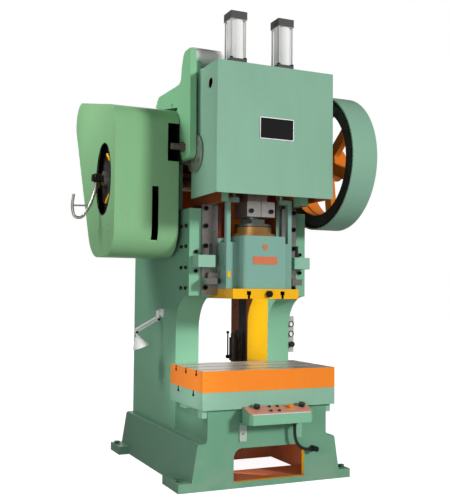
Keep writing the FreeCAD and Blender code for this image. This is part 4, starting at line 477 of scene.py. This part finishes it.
def enamel_finish(name, paint, zones=(), inner=None, bare=None, dust=0.3, wear=0.5, drift=0.10,
                  coat=0.04, radius=0.004):
    """Machine enamel in one paint.

    zones: boxes in press millimetres that carry another paint; inner: the centre and paint of a
    hollow body's inside; bare: the box whose upward faces are cut metal.
    """
    finish, tree, shader = new_finish(name)
    colour = paint
    if inner is not None:
        centre, lining = inner
        facing_in = use_group(tree, INWARD, centre=at(*centre))
        colour = blend_colour(tree, facing_in.outputs["Mask"], colour, lining)
    for low, high, toward, other in zones:
        colour = blend_colour(tree, zone_mask(tree, low, high, toward), colour, other)
    coated = use_group(tree, ENAMEL, paint=colour, drift=drift, dust=dust)
    edges = use_group(tree, ROUNDED_EDGES, radius=radius, wear=wear)
    worn = blend_colour(tree, edges.outputs["Mask"], coated.outputs["Colour"], BARE_STEEL)
    roughness = coated.outputs["Roughness"]
    if bare is not None:
        cut = use_group(tree, MACHINING, lines=(1.5, 40.0, 40.0), metal=(0.88, 0.88, 0.87, 1),
                        oil=0.4)
        mask = zone_mask(tree, *bare, (0, 0, 1))
        worn = blend_colour(tree, mask, worn, cut.outputs["Colour"])
        kept = reckon(tree, "MULTIPLY", roughness, reckon(tree, "SUBTRACT", 1.0, mask))
        roughness = reckon(tree, "MULTIPLY_ADD", cut.outputs["Roughness"], mask, kept)
        put(shader.inputs["Metallic"], reckon(tree, "MULTIPLY", mask, 0.5))
    put(shader.inputs["Base Color"], worn)
    put(shader.inputs["Roughness"], roughness)
    shader.inputs["Specular IOR Level"].default_value = 0.25
    shader.inputs["Coat Weight"].default_value = coat
    shader.inputs["Coat Roughness"].default_value = 0.12
    raise_surface(tree, shader, coated.outputs["Height"], 0.0006, edges.outputs["Normal"])
    return finish


def gear_finish(name, centre, web_radius, paint):
    """An iron gear with a painted web inside its toothed rim."""
    finish, tree, shader = new_finish(name)
    web = use_group(tree, DISC, centre=at(*centre), radius=web_radius).outputs["Mask"]
    cast = use_group(tree, CASTING, tone=(0.022, 0.020, 0.020, 1), grit=90.0)
    coated = use_group(tree, ENAMEL, paint=paint, drift=0.12, dust=0.2)
    edges = use_group(tree, ROUNDED_EDGES, radius=0.002, wear=0.5)
    colour = blend_colour(tree, web, cast.outputs["Colour"], coated.outputs["Colour"])
    put(shader.inputs["Base Color"],
        blend_colour(tree, edges.outputs["Mask"], colour, BARE_STEEL))
    put(shader.inputs["Roughness"], cast.outputs["Roughness"])
    put(shader.inputs["Metallic"], reckon(tree, "MULTIPLY_ADD", web, -0.4, 0.4))
    raise_surface(tree, shader, cast.outputs["Height"], 0.0006, edges.outputs["Normal"], 0.3)
    return finish


def steel_finish(name, metal=(0.62, 0.61, 0.60, 1), lines=(1.0, 60.0, 60.0), oil=0.4):
    finish, tree, shader = new_finish(name)
    cut = use_group(tree, MACHINING, lines=lines, metal=metal, oil=oil)
    edges = use_group(tree, ROUNDED_EDGES, radius=0.0015, wear=0.0)
    put(shader.inputs["Base Color"], cut.outputs["Colour"])
    put(shader.inputs["Roughness"], cut.outputs["Roughness"])
    shader.inputs["Metallic"].default_value = 0.9
    raise_surface(tree, shader, cut.outputs["Height"], 0.0003, edges.outputs["Normal"], 0.25)
    return finish


def cast_finish(name, tone, grit=90.0, metallic=0.4, wear=0.6):
    finish, tree, shader = new_finish(name)
    cast = use_group(tree, CASTING, tone=tone, grit=grit)
    edges = use_group(tree, ROUNDED_EDGES, radius=0.002, wear=wear)
    put(shader.inputs["Base Color"], blend_colour(tree, edges.outputs["Mask"],
                                                  cast.outputs["Colour"], BARE_STEEL))
    put(shader.inputs["Roughness"], cast.outputs["Roughness"])
    shader.inputs["Metallic"].default_value = metallic
    raise_surface(tree, shader, cast.outputs["Height"], 0.0008, edges.outputs["Normal"], 0.4)
    return finish


def plastic_finish(name, tone, roughness=0.35, grit=900.0):
    finish, tree, shader = new_finish(name)
    place = object_place(tree)
    speckle = grain(tree, place, grit, 2.0, 0.5)
    worn = ramp(tree, grain(tree, place, 30.0, 4.0, 0.6), 0.5, 0.75)
    paler = tuple(min(1.0, c * 1.6 + 0.01) for c in tone[:3]) + (1,)
    put(shader.inputs["Base Color"], blend_colour(tree, worn, tone, paler))
    put(shader.inputs["Roughness"], ramp(tree, speckle, 0.3, 0.7, roughness - 0.06,
                                         roughness + 0.08))
    raise_surface(tree, shader, speckle, 0.0002, None, 0.2)
    return finish


# ---------------------------------------------------------------- finishes

GREEN = (0.205, 0.450, 0.290, 1)
GUARD_GREEN = (0.215, 0.430, 0.215, 1)
COVER_GREEN = (0.245, 0.445, 0.325, 1)
# The frame's green darkened for the base near the floor: painted shade.
PAINTED_SHADE_GREEN = (0.135, 0.310, 0.200, 1)
# Black painted into slots, hollows and gaps that lie in shade: painted shade.
SHADE_BLACK = (0.020, 0.019, 0.019, 1)

# The base's green is darkened as painted shade; its lining and yellow edges are its own paint.
base_green = enamel_finish("base_green", PAINTED_SHADE_GREEN, zones=(
    ((-501, -261, -10), (501, 641, 586), None, BASE_LINING),
    ((-300, -304, 20), (320, -262, 46.5), (0, 0, 1), SAFETY_YELLOW),
    ((300, -304, 20), (320, -262, 240), (-1, 0, 0), SAFETY_YELLOW)), dust=0.45)
left_column_green = enamel_finish(
    "left_column_green", GREEN, inner=((-418, 800, 1734), RED_PRIMER), zones=(
        ((-319, -100, 1900), (-314, 1440, 2640), (1, 0, 0), ORANGE_PRIMER),), dust=0.3)
right_column_green = enamel_finish(
    "right_column_green", GREEN, inner=((418, 800, 1734), RED_PRIMER), zones=(
        ((314, 343, 345), (319, 733, 2640), (-1, 0, 0), SAFETY_YELLOW),
        # A black strip on the outer plate's inner face behind the web: painted shadow.
        ((470, 1102, 345), (485, 1267, 2640), (-1, 0, 0), SHADE_BLACK),
        ((314, -100, 1900), (319, 1440, 2640), (-1, 0, 0), ORANGE_PRIMER)), dust=0.3)
crown_green = enamel_finish("crown_green", GREEN, zones=(
    ((-486, -224, 1500), (486, 1430, 3100), None, ORANGE_PRIMER),
    ((-486, -224, 2645), (486, 1430, 2655), (0, 0, 1), GREEN),
    # The rear deck's underside and edges are painted black: painted shade.
    ((-489, 345, 2590), (489, 1436, 2640), None, SHADE_BLACK)))
cover_green = enamel_finish("cover_green", COVER_GREEN, inner=((0, -100, 2700), ORANGE_PRIMER),
                            drift=0.14, dust=0.12)
# The guard's inside is painted black: painted shade.
guard_green = enamel_finish("guard_green", GUARD_GREEN, inner=((-850, 800, 2400), SHADE_BLACK),
                            drift=0.14)
# The frame's green made lighter on the side bracket: painted light.
bracket_green_painted_light = enamel_finish("bracket_green_painted_light", (0.235, 0.530, 0.290, 1))
band_green = enamel_finish("band_green", COVER_GREEN, inner=((665, 102, 2530), ORANGE_PRIMER))
# The bed's T-slots are painted black inside: painted shade.
bed_green = enamel_finish("bed_green", COVER_GREEN, zones=tuple(
    ((-559.5, y - 20, 672), (559.5, y + 20, 716.4), None, SHADE_BLACK) for y in (-158, 158)))
# The black boxes on the knockout brackets are painted shade.
stop_green = enamel_finish("stop_green", (0.260, 0.480, 0.350, 1), zones=(
    ((-395, -60, 1738.5), (395, -30, 1835), None, SHADE_BLACK),
    ((-332, -66, 1514), (332, -22, 1558), None, SHADE_BLACK)), wear=0.8, radius=0.002)
slide_green = enamel_finish("slide_green", (0.200, 0.380, 0.310, 1), zones=(
    ((-247.5, -95, 1892), (247.5, 262, 2300), None, ORANGE_PRIMER),
    ((-300, 60, 1880), (-200, 70, 2300), (0, -1, 0), SLIDE_EDGE_RED)), wear=0.8)
control_green = enamel_finish("control_green", GREEN, zones=(
    ((-250, -345, 335), (-180, -300, 462), None, (0.40, 0.46, 0.40, 1)),), wear=0.9)
# The bolster's T-slots are painted black inside: painted shade.
bolster_orange = enamel_finish("bolster_orange", (0.86, 0.235, 0.022, 1), zones=tuple(
    ((-559.5, y - 20, 828), (559.5, y + 20, 872.4), None, SHADE_BLACK) for y in (-211, 0, 211)),
                               bare=((-570, -350, 860), (570, 350, 880)), dust=0.12, wear=0.7)
# The slide plate's T-slots are painted black inside: painted shade.
slide_yellow = enamel_finish("slide_yellow", (0.86, 0.44, 0.006, 1), zones=tuple(
    ((x - 19, -249.5, 1403.5), (x + 19, 249.5, 1463), None, SHADE_BLACK) for x in (-149, 141)),
    wear=0.8, radius=0.002)
white_enamel = enamel_finish("white_enamel", (0.86, 0.86, 0.85, 1), wear=0.3, coat=0.4)
grey_enamel = enamel_finish("grey_enamel", (0.13, 0.14, 0.145, 1), wear=0.6)
air_panel_grey = enamel_finish("air_panel_grey", (0.40, 0.41, 0.40, 1), wear=0.6, radius=0.002)
panel_paint = enamel_finish("panel_paint", (0.66, 0.270, 0.180, 1), zones=(
    ((-240, -480, 550), (300, -467.5, 610), None, (0.62, 0.62, 0.60, 1)),), wear=1.6,
                            radius=0.003)
label_plate = enamel_finish("label_plate", (0.60, 0.175, 0.080, 1), wear=0.8, radius=0.001)
plate_black = enamel_finish("plate_black", (0.008, 0.008, 0.008, 1), dust=0.0, wear=0.2,
                            radius=0.001)
cap_grey = enamel_finish("cap_grey", (0.095, 0.095, 0.092, 1), zones=(
    ((-300, -170, 3283), (300, -10, 3592), None, (0.62, 0.58, 0.56, 1)),), dust=0.05,
                         radius=0.001)
lamp_white = enamel_finish("lamp_white", (0.92, 0.92, 0.91, 1), dust=0.05, wear=0.3, coat=0.3,
                           radius=0.001)
pin_brown = enamel_finish("pin_brown", (0.115, 0.085, 0.065, 1), wear=0.8, radius=0.002)
border_white = enamel_finish("border_white", (0.95, 0.95, 0.95, 1), dust=0.05, wear=0.1,
                             radius=0.001)
gear_paint = gear_finish("gear_paint", (700, 0, 2530), 0.432, (0.72, 0.20, 0.012, 1))
bright_steel = steel_finish("bright_steel", (0.80, 0.79, 0.77, 1), (8.0, 8.0, 8.0), 0.15)
block_steel = steel_finish("block_steel", (0.74, 0.74, 0.73, 1), (3.0, 20.0, 20.0), 0.25)
ground_steel = steel_finish("ground_steel", (0.42, 0.40, 0.395, 1), (40.0, 40.0, 1.5), 0.6)
oily_steel = steel_finish("oily_steel", (0.22, 0.25, 0.23, 1), (8.0, 8.0, 30.0), 0.9)
turned_steel = steel_finish("turned_steel", (0.60, 0.59, 0.58, 1), (60.0, 2.0, 2.0), 0.4)
bronze = steel_finish("bronze", (0.62, 0.33, 0.12, 1), (4.0, 4.0, 60.0), 0.5)
dark_iron = cast_finish("dark_iron", (0.022, 0.020, 0.020, 1))
pump_black = cast_finish("pump_black", (0.034, 0.024, 0.018, 1), 60.0, 0.2, 1.0)
black_bolt = cast_finish("black_bolt", (0.018, 0.017, 0.018, 1), 220.0, 0.7)
blued_bolt = cast_finish("blued_bolt", (0.020, 0.024, 0.040, 1), 220.0, 0.7)
screw_green = cast_finish("screw_green", (0.050, 0.120, 0.070, 1), 160.0, 0.3)
belt_rubber = plastic_finish("belt_rubber", (0.012, 0.012, 0.012, 1), 0.6, 500.0)
conduit_black = plastic_finish("conduit_black", (0.010, 0.012, 0.011, 1), 0.32, 700.0)
black_plastic = plastic_finish("black_plastic", (0.014, 0.013, 0.013, 1), 0.3)
orange_plastic = plastic_finish("orange_plastic", (0.80, 0.26, 0.012, 1), 0.28)

conduit.data.materials.append(conduit_black)

NODE_FINISHES = {
    base_green: ("base",),
    left_column_green: ("column_left",),
    right_column_green: ("column_right",),
    crown_green: ("crown",),
    cover_green: ("front_cover",),
    guard_green: ("flywheel_guard",),
    bracket_green_painted_light: ("side_bracket",),
    band_green: ("gear_guard",),
    bed_green: ("bed_plate",),
    stop_green: ("knockout_brackets",),
    slide_green: ("slide",),
    control_green: ("control_box",),
    bolster_orange: ("bolster_plate",),
    slide_yellow: ("slide_plate",),
    white_enamel: ("balancer_barrels", "air_tank"),
    lamp_white: ("lamp_base", "lamp_swivel", "lamp_arm", "lamp_head"),
    grey_enamel: ("motor",),
    # The guard's back plate is painted black as painted shade behind the guard; the nameplate's
    # black is its own.
    plate_black: ("nameplate", "guard_backplate"),
    pump_black: ("pump_body",),
    air_panel_grey: ("air_panel",),
    panel_paint: ("control_panel",),
    label_plate: ("slide_labels",),
    pin_brown: ("bracket_pin",),
    gear_paint: ("crank_gear",),
    bright_steel: ("air_pipe", "balance_rods"),
    block_steel: ("connecting_rod",),
    ground_steel: ("gibs", "knockout_bar"),
    oily_steel: ("adjusting_screw",),
    turned_steel: ("crankshaft", "pinion_shaft"),
    bronze: ("bearings", "slide_collar"),
    dark_iron: ("clutch_plate", "flywheel", "motor_pulley"),
    black_bolt: ("rotary_union", "shank_bolt", "gib_bolts", "conduit_glands", "pump_lever"),
    blued_bolt: ("clamp_bolts",),
    cap_grey: ("balancer_ends",),
    screw_green: ("levelling_screws",),
    belt_rubber: ("v_belts",),
    black_plastic: ("palm_button_left", "palm_button_right", "button_run", "button_inch",
                    "button_mode", "button_reset", "regulator_knob"),
    orange_plastic: ("emergency_stop",),
}


def dress_nodes():
    for finish, names in NODE_FINISHES.items():
        for name in names:
            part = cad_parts[name]
            part.data.materials.clear()
            part.data.materials.append(finish)


dress_nodes()

# ---------------------------------------------------------------- small parts the photo shows

def begin(primitive, **settings):
    """A primitive in edit mode, its own axes already the frame's, with nothing picked."""
    bpy.ops.object.select_all(action="DESELECT")
    primitive(**settings)
    piece = bpy.context.object
    bpy.ops.object.transform_apply(location=True, rotation=True, scale=True)
    bpy.ops.object.mode_set(mode="EDIT")
    bpy.ops.mesh.select_all(action="DESELECT")
    return piece


def pick(piece, kind, wanted):
    """Picks the faces, edges or corners that the test accepts."""
    bpy.ops.mesh.select_all(action="DESELECT")
    bpy.ops.mesh.select_mode(type=kind)
    shape = bmesh.from_edit_mesh(piece.data)
    for item in {"FACE": shape.faces, "EDGE": shape.edges, "VERT": shape.verts}[kind]:
        item.select_set(bool(wanted(item)))
    shape.select_flush_mode()
    bmesh.update_edit_mesh(piece.data)


ALIGNED = 0.9


def facing(*direction):
    """A test for faces that look one way."""
    return lambda face: face.normal.dot(Vector(direction)) > ALIGNED


def ends(axis):
    """A test for faces that look either way along an axis."""
    return lambda face: abs(face.normal.dot(axis)) > ALIGNED


def runs_along(axis):
    """A test for edges that lie along an axis."""
    return lambda edge: abs((edge.verts[1].co - edge.verts[0].co).normalized()
                            .dot(axis)) > ALIGNED


def turned_axis(turn):
    """Where the Z axis points after a turn."""
    axis = Vector((0, 0, 1))
    axis.rotate(Euler(turn))
    return axis


def middle(edge):
    return (edge.verts[0].co + edge.verts[1].co) / 2


def finish_piece(piece, name, finish, body="frame", angle=35):
    """Leaves edit mode with closed outward faces and gives the piece its name, finish and body."""
    bpy.ops.mesh.select_all(action="SELECT")
    bpy.ops.mesh.normals_make_consistent(inside=False)
    bpy.ops.object.mode_set(mode="OBJECT")
    bpy.ops.object.shade_smooth_by_angle(angle=math.radians(angle))
    piece.name = name
    piece.data.name = name
    piece.data.materials.clear()
    piece.data.materials.append(finish)
    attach(piece, body)
    return piece


def copies(piece, names, moves, body="frame"):
    """Copies a finished piece, each copy with its own mesh, set over by its move."""
    for name, move in zip(names, moves):
        twin = piece.copy()
        twin.data = piece.data.copy()
        twin.data.transform(move)
        twin.name = name
        twin.data.name = name
        bpy.context.collection.objects.link(twin)
        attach(twin, body)


def shift(x, y, z):
    return Matrix.Translation((mm(x), mm(y), mm(z)))


FACE_FRONT = (math.pi / 2, 0, 0)
FACE_LEFT = (0, -math.pi / 2, 0)
CAP_DEPTH = 6
SOCKET_DEPTH = 4.0
SOCKET_WALL_SHARE = 0.45


def socket_ring(name, place, radius, turn, outward):
    """A thin cap with a socket, laid on the head of a bolt."""
    cap = begin(bpy.ops.mesh.primitive_cylinder_add, vertices=30, radius=mm(radius),
                depth=mm(CAP_DEPTH), location=at(*place), rotation=turn)
    pick(cap, "FACE", facing(*outward))
    bpy.ops.mesh.inset(thickness=mm(radius * SOCKET_WALL_SHARE))
    bpy.ops.mesh.extrude_region_move(
        TRANSFORM_OT_translate={"value": Vector(outward) * mm(-SOCKET_DEPTH)})
    rim = [edge.index for edge in bmesh.from_edit_mesh(cap.data).edges
           if (middle(edge) - at(*place)).dot(Vector(outward)) > mm(CAP_DEPTH / 2 - 0.1)
           and (edge.verts[0].co - at(*place)).length > mm(radius * 0.9)]
    pick(cap, "EDGE", lambda edge: edge.index in rim)
    bpy.ops.mesh.bevel(offset=mm(1.2), segments=2)
    return finish_piece(cap, name, black_bolt)


GIB_HEIGHTS = (1487, 1814, 1971, 2110)
GIB_SPACING = 784
JAW_HEIGHTS = (1616, 1766)
JAW_SPACING = 932
SIDE_HEIGHTS = (1481, 1643, 1810, 1973)
SIDE_ROWS = (119, 218)

gib_socket = socket_ring("gib_socket_1", (-GIB_SPACING / 2, 26, GIB_HEIGHTS[0]), 19, FACE_FRONT,
                         (0, -1, 0))
copies(gib_socket, [f"gib_socket_{n + 2}" for n in range(7)],
       [shift(side, 0, height - GIB_HEIGHTS[0])
        for side in (0, GIB_SPACING) for height in GIB_HEIGHTS][1:])
jaw_socket = socket_ring("jaw_socket_1", (-JAW_SPACING / 2, 51, JAW_HEIGHTS[0]), 15, FACE_FRONT,
                         (0, -1, 0))
copies(jaw_socket, [f"jaw_socket_{n + 2}" for n in range(3)],
       [shift(side, 0, height - JAW_HEIGHTS[0])
        for side in (0, JAW_SPACING) for height in JAW_HEIGHTS][1:])
side_socket = socket_ring("side_socket_1", (-532, SIDE_ROWS[0], SIDE_HEIGHTS[0]), 14, FACE_LEFT,
                          (-1, 0, 0))
copies(side_socket, [f"side_socket_{n + 2}" for n in range(7)],
       [shift(0, row - SIDE_ROWS[0], height - SIDE_HEIGHTS[0])
        for row in SIDE_ROWS for height in SIDE_HEIGHTS][1:])
# A half turn about Z takes a socket to the other column, and the shift back to its row.
half_turn = Matrix.Rotation(math.pi, 4, "Z")
copies(side_socket, [f"side_socket_{n + 9}" for n in range(8)],
       [shift(0, row + SIDE_ROWS[0] + 2 * SLIDE_AXIS, height - SIDE_HEIGHTS[0]) @ half_turn
        for row in SIDE_ROWS for height in SIDE_HEIGHTS])


def plate_ring(name, low, high, axis, corner, width, finish):
    """A flat frame with rounded corners between two opposite corners, open along one axis."""
    middle_place = [(a + b) / 2 for a, b in zip(low, high)]
    ring = begin(bpy.ops.mesh.primitive_cube_add, size=1, location=at(*middle_place),
                 scale=[mm(b - a) for a, b in zip(low, high)])
    along = Vector([1.0 if n == axis else 0.0 for n in range(3)])
    pick(ring, "EDGE", runs_along(along))
    bpy.ops.mesh.bevel(offset=mm(corner), segments=6)
    pick(ring, "FACE", ends(along))
    bpy.ops.mesh.inset(thickness=mm(width))
    bpy.ops.mesh.bridge_edge_loops()
    return finish_piece(ring, name, finish)


plate_ring("nameplate_border", (-145.5, -410.5, 2611), (145.5, -409.3, 2777), 1, 7, 6,
           border_white)


def round_ring(name, place, radius, width, depth, turn, stretch_by, finish, body="frame"):
    """A ring of flat section round an axis, stretched to an oval when asked."""
    ring = begin(bpy.ops.mesh.primitive_cylinder_add, vertices=72, radius=mm(radius),
                 depth=mm(depth), location=at(*place), rotation=turn)
    bpy.ops.mesh.select_all(action="SELECT")
    bpy.ops.transform.resize(value=stretch_by, center_override=at(*place))
    pick(ring, "FACE", ends(turned_axis(turn)))
    bpy.ops.mesh.inset(thickness=mm(width))
    bpy.ops.mesh.bridge_edge_loops()
    pick(ring, "EDGE", lambda edge: edge.is_manifold and edge.calc_face_angle() > 1.2)
    bpy.ops.mesh.bevel(offset=mm(min(width, depth) * 0.2), segments=2)
    return finish_piece(ring, name, finish, body)


round_ring("guard_window_rim", (-1101, 484, 2351), 213, 8, 8, FACE_LEFT, (1, 1, 292 / 213),
           plate_black)


SPRING_LENGTH = 126
SPRING_STEPS = 18
SPRING_WAIST = 0.72
CLUTCH_CENTRE = (-1053, 593.6, 2369.3)


def clutch_springs():
    """Three yellow coil springs set round the clutch plate."""
    place, turn = (-1053, 505.6, 2201.7), (math.radians(62.3), 0, 0)
    axis = turned_axis(turn)
    spring = begin(bpy.ops.mesh.primitive_cylinder_add, vertices=18, radius=mm(13),
                   depth=mm(SPRING_LENGTH), location=at(*place), rotation=turn)
    pick(spring, "EDGE", runs_along(axis))
    bpy.ops.mesh.subdivide(number_cuts=SPRING_STEPS - 1)
    across = Vector((0, 0, 1)).rotation_difference(axis).to_matrix()
    for ring in range(1, SPRING_STEPS, 2):
        height = mm(SPRING_LENGTH) * (ring / SPRING_STEPS - 0.5)
        pick(spring, "VERT", lambda corner: abs((corner.co - at(*place)).dot(axis) - height)
             < mm(1))
        bpy.ops.transform.resize(value=(SPRING_WAIST, SPRING_WAIST, 1),
                                 orient_matrix=across.transposed(),
                                 orient_type="GLOBAL", orient_matrix_type="GLOBAL",
                                 center_override=at(*place) + axis * height)
    finish_piece(spring, "clutch_spring_1", slide_yellow, "pinion", angle=70)
    hub = Matrix.Translation(at(*CLUTCH_CENTRE))
    copies(spring, ["clutch_spring_2", "clutch_spring_3"],
           [hub @ Matrix.Rotation(math.radians(angle), 4, "X") @ hub.inverted()
            for angle in (120, 240)], "pinion")


clutch_springs()


def lubrication_tag():
    """A small yellow plate screwed to the slide's left front."""
    tag = begin(bpy.ops.mesh.primitive_cube_add, size=1, location=at(-262, -128, 1590),
                scale=(mm(26), mm(3), mm(46)))
    pick(tag, "EDGE", lambda edge: abs(edge.verts[0].co.y - edge.verts[1].co.y) > mm(2))
    bpy.ops.mesh.bevel(offset=mm(4), segments=3)
    pick(tag, "FACE", facing(0, -1, 0))
    bpy.ops.mesh.inset(thickness=mm(2))
    bpy.ops.mesh.extrude_region_move(TRANSFORM_OT_translate={"value": (0, mm(0.6), 0)})
    finish_piece(tag, "slide_tag", slide_yellow, "slide")


lubrication_tag()


GAUGE_SIDE = 549
GAUGE_HEIGHT = 1182
GAUGE_SPACING = 83


def gauge_parts():
    """Two dials with a needle each behind their bezels."""
    dial = begin(bpy.ops.mesh.primitive_cylinder_add, vertices=40, radius=mm(19.4), depth=mm(1.6),
                 location=at(GAUGE_SIDE, 351.4, GAUGE_HEIGHT), rotation=FACE_FRONT)
    pick(dial, "FACE", facing(0, -1, 0))
    bpy.ops.mesh.inset(thickness=mm(2.2))
    bpy.ops.mesh.extrude_region_move(TRANSFORM_OT_translate={"value": (0, mm(0.5), 0)})
    finish_piece(dial, "gauge_dial_1", border_white)
    needle = begin(bpy.ops.mesh.primitive_cube_add, size=1,
                   location=at(GAUGE_SIDE, 350.4, GAUGE_HEIGHT + 6),
                   scale=(mm(2.4), mm(0.8), mm(17)))
    pick(needle, "FACE", facing(0, 0, 1))
    bpy.ops.transform.resize(value=(0.25, 1, 1),
                             center_override=at(GAUGE_SIDE, 350.4, GAUGE_HEIGHT + 14.5))
    bpy.ops.mesh.select_all(action="SELECT")
    bpy.ops.transform.rotate(value=math.radians(38), orient_axis="Y",
                             center_override=at(GAUGE_SIDE, 350.4, GAUGE_HEIGHT))
    finish_piece(needle, "gauge_needle_1", black_plastic)
    bezel = round_ring("gauge_bezel_1", (GAUGE_SIDE, 343.5, GAUGE_HEIGHT), 25, 5.5, 5,
                       FACE_FRONT, (1, 1, 1), black_plastic)
    for piece, title, slot in ((dial, "gauge_dial_2", "white_paint"),
                               (needle, "gauge_needle_2", "black_plastic"),
                               (bezel, "gauge_bezel_2", "black_plastic")):
        copies(piece, [title], [shift(0, 0, -GAUGE_SPACING)])


gauge_parts()

PANEL_TILT = math.radians(16.7)
PANEL_TURN = (PANEL_TILT, 0, 0)
PANEL_EDGE_PLACE, PANEL_EDGE_HEIGHT = -480, 561
PALM_HOLE, BUTTON_HOLE = 25.5, 12.5


def on_panel(x, y, lift=0.0):
    """A place on the sloping control panel, lifted square to it."""
    height = PANEL_EDGE_HEIGHT + (y - PANEL_EDGE_PLACE) * math.tan(PANEL_TILT)
    return (x, y - lift * math.sin(PANEL_TILT), height + lift * math.cos(PANEL_TILT))


def panel_parts():
    """Collars round the buttons, a disc under the emergency stop and the panel's four screws."""
    for name, x, y, hole in (("palm_collar_left", -141, -377, PALM_HOLE),
                             ("palm_collar_right", 237, -382, PALM_HOLE),
                             ("run_collar", -29, -364, BUTTON_HOLE),
                             ("inch_collar", 39, -365, BUTTON_HOLE),
                             ("mode_collar", -49, -433, BUTTON_HOLE),
                             ("reset_collar", 20, -435, BUTTON_HOLE)):
        round_ring(name, on_panel(x, y, 1.4), hole + 3.5, 3, 3, PANEL_TURN, (1, 1, 1),
                   bright_steel)
    round_ring("stop_disc", on_panel(132, -395, 1.4), 32, 8, 3, PANEL_TURN, (1, 1, 1),
               slide_yellow)
    corners = [at(*on_panel(x, y, 0.8)) for x in (-226, 286) for y in (-466, -352)]
    upward = turned_axis(PANEL_TURN)
    screw = begin(bpy.ops.mesh.primitive_cylinder_add, vertices=20, radius=mm(5.5), depth=mm(3),
                  location=corners[0], rotation=PANEL_TURN)
    pick(screw, "FACE", facing(*upward))
    bpy.ops.mesh.inset(thickness=mm(1.6))
    bpy.ops.mesh.extrude_region_move(TRANSFORM_OT_translate={"value": upward * mm(-1.0)})
    finish_piece(screw, "panel_screw_1", bright_steel)
    copies(screw, [f"panel_screw_{n + 2}" for n in range(3)],
           [Matrix.Translation(corner - corners[0]) for corner in corners[1:]])


panel_parts()


FLATS_TO_CORNER = 1.732


def hex_nut(name, place, across, high, turn, finish):
    """A six-sided nut with chamfered corners and a stud's end in it."""
    nut = begin(bpy.ops.mesh.primitive_cylinder_add, vertices=6,
                radius=mm(across / FLATS_TO_CORNER), depth=mm(high), location=at(*place),
                rotation=turn)
    axis = turned_axis(turn)
    pick(nut, "EDGE", lambda edge: (middle(edge) - at(*place)).dot(axis) > mm(high * 0.49))
    bpy.ops.mesh.bevel(offset=mm(across * 0.08), segments=1)
    pick(nut, "FACE", facing(*axis))
    bpy.ops.mesh.inset(thickness=mm(across * 0.16))
    bpy.ops.mesh.extrude_region_move(TRANSFORM_OT_translate={"value": axis * mm(high * 0.3)})
    return finish_piece(nut, name, finish)


TIE_PLACES = [(x, y) for x in (-268, -150, 150, 268) for y in (-149, -31)]
tie_nut = hex_nut("tie_nut_1", (*TIE_PLACES[0], 3284.5), 24, 11, (0, 0, 0),
                  black_bolt)
copies(tie_nut, [f"tie_nut_{n + 2}" for n in range(7)],
       [shift(x - TIE_PLACES[0][0], y - TIE_PLACES[0][1], 0) for x, y in TIE_PLACES[1:]])
hex_nut("bracket_bolt", (-216, -313.5, 402), 19, 7, FACE_FRONT, bright_steel)


def lamp_knob(name, place, body):
    """A ribbed hand knob on a joint of the lamp's arm."""
    knob = begin(bpy.ops.mesh.primitive_cylinder_add, vertices=16, radius=mm(11), depth=mm(10),
                 location=at(*place), rotation=FACE_FRONT)
    ribs = [face.index for face in bmesh.from_edit_mesh(knob.data).faces
            if abs(face.normal.y) < 0.1][::2]
    pick(knob, "FACE", lambda face: face.index in ribs)
    bpy.ops.mesh.inset(thickness=mm(0.7), use_individual=True)
    bpy.ops.transform.resize(value=(0.86, 1, 0.86), center_override=at(*place))
    pick(knob, "FACE", facing(0, -1, 0))
    bpy.ops.mesh.inset(thickness=mm(3))
    bpy.ops.mesh.extrude_region_move(TRANSFORM_OT_translate={"value": (0, mm(2), 0)})
    return finish_piece(knob, name, black_plastic, body)


lamp_knob("lamp_knob_low", (-554, 652.5, 1216), "lamp_link")
lamp_knob("lamp_knob_high", (-744, 652.5, 1111), "lamp_link")


def terminal_box():
    """The cable box on top of the motor, with its lid."""
    box = begin(bpy.ops.mesh.primitive_cube_add, size=1, location=at(-216, 1230, 3058),
                scale=(mm(150), mm(120), mm(64)))
    pick(box, "EDGE", lambda edge: abs(edge.verts[0].co.z - edge.verts[1].co.z) > mm(20))
    bpy.ops.mesh.bevel(offset=mm(10), segments=4)
    pick(box, "FACE", facing(0, 0, 1))
    bpy.ops.mesh.extrude_region_move(TRANSFORM_OT_translate={"value": (0, 0, mm(3))})
    bpy.ops.mesh.inset(thickness=mm(-3))
    bpy.ops.mesh.extrude_region_move(TRANSFORM_OT_translate={"value": (0, 0, mm(7))})
    finish_piece(box, "motor_terminal_box", grey_enamel)


terminal_box()
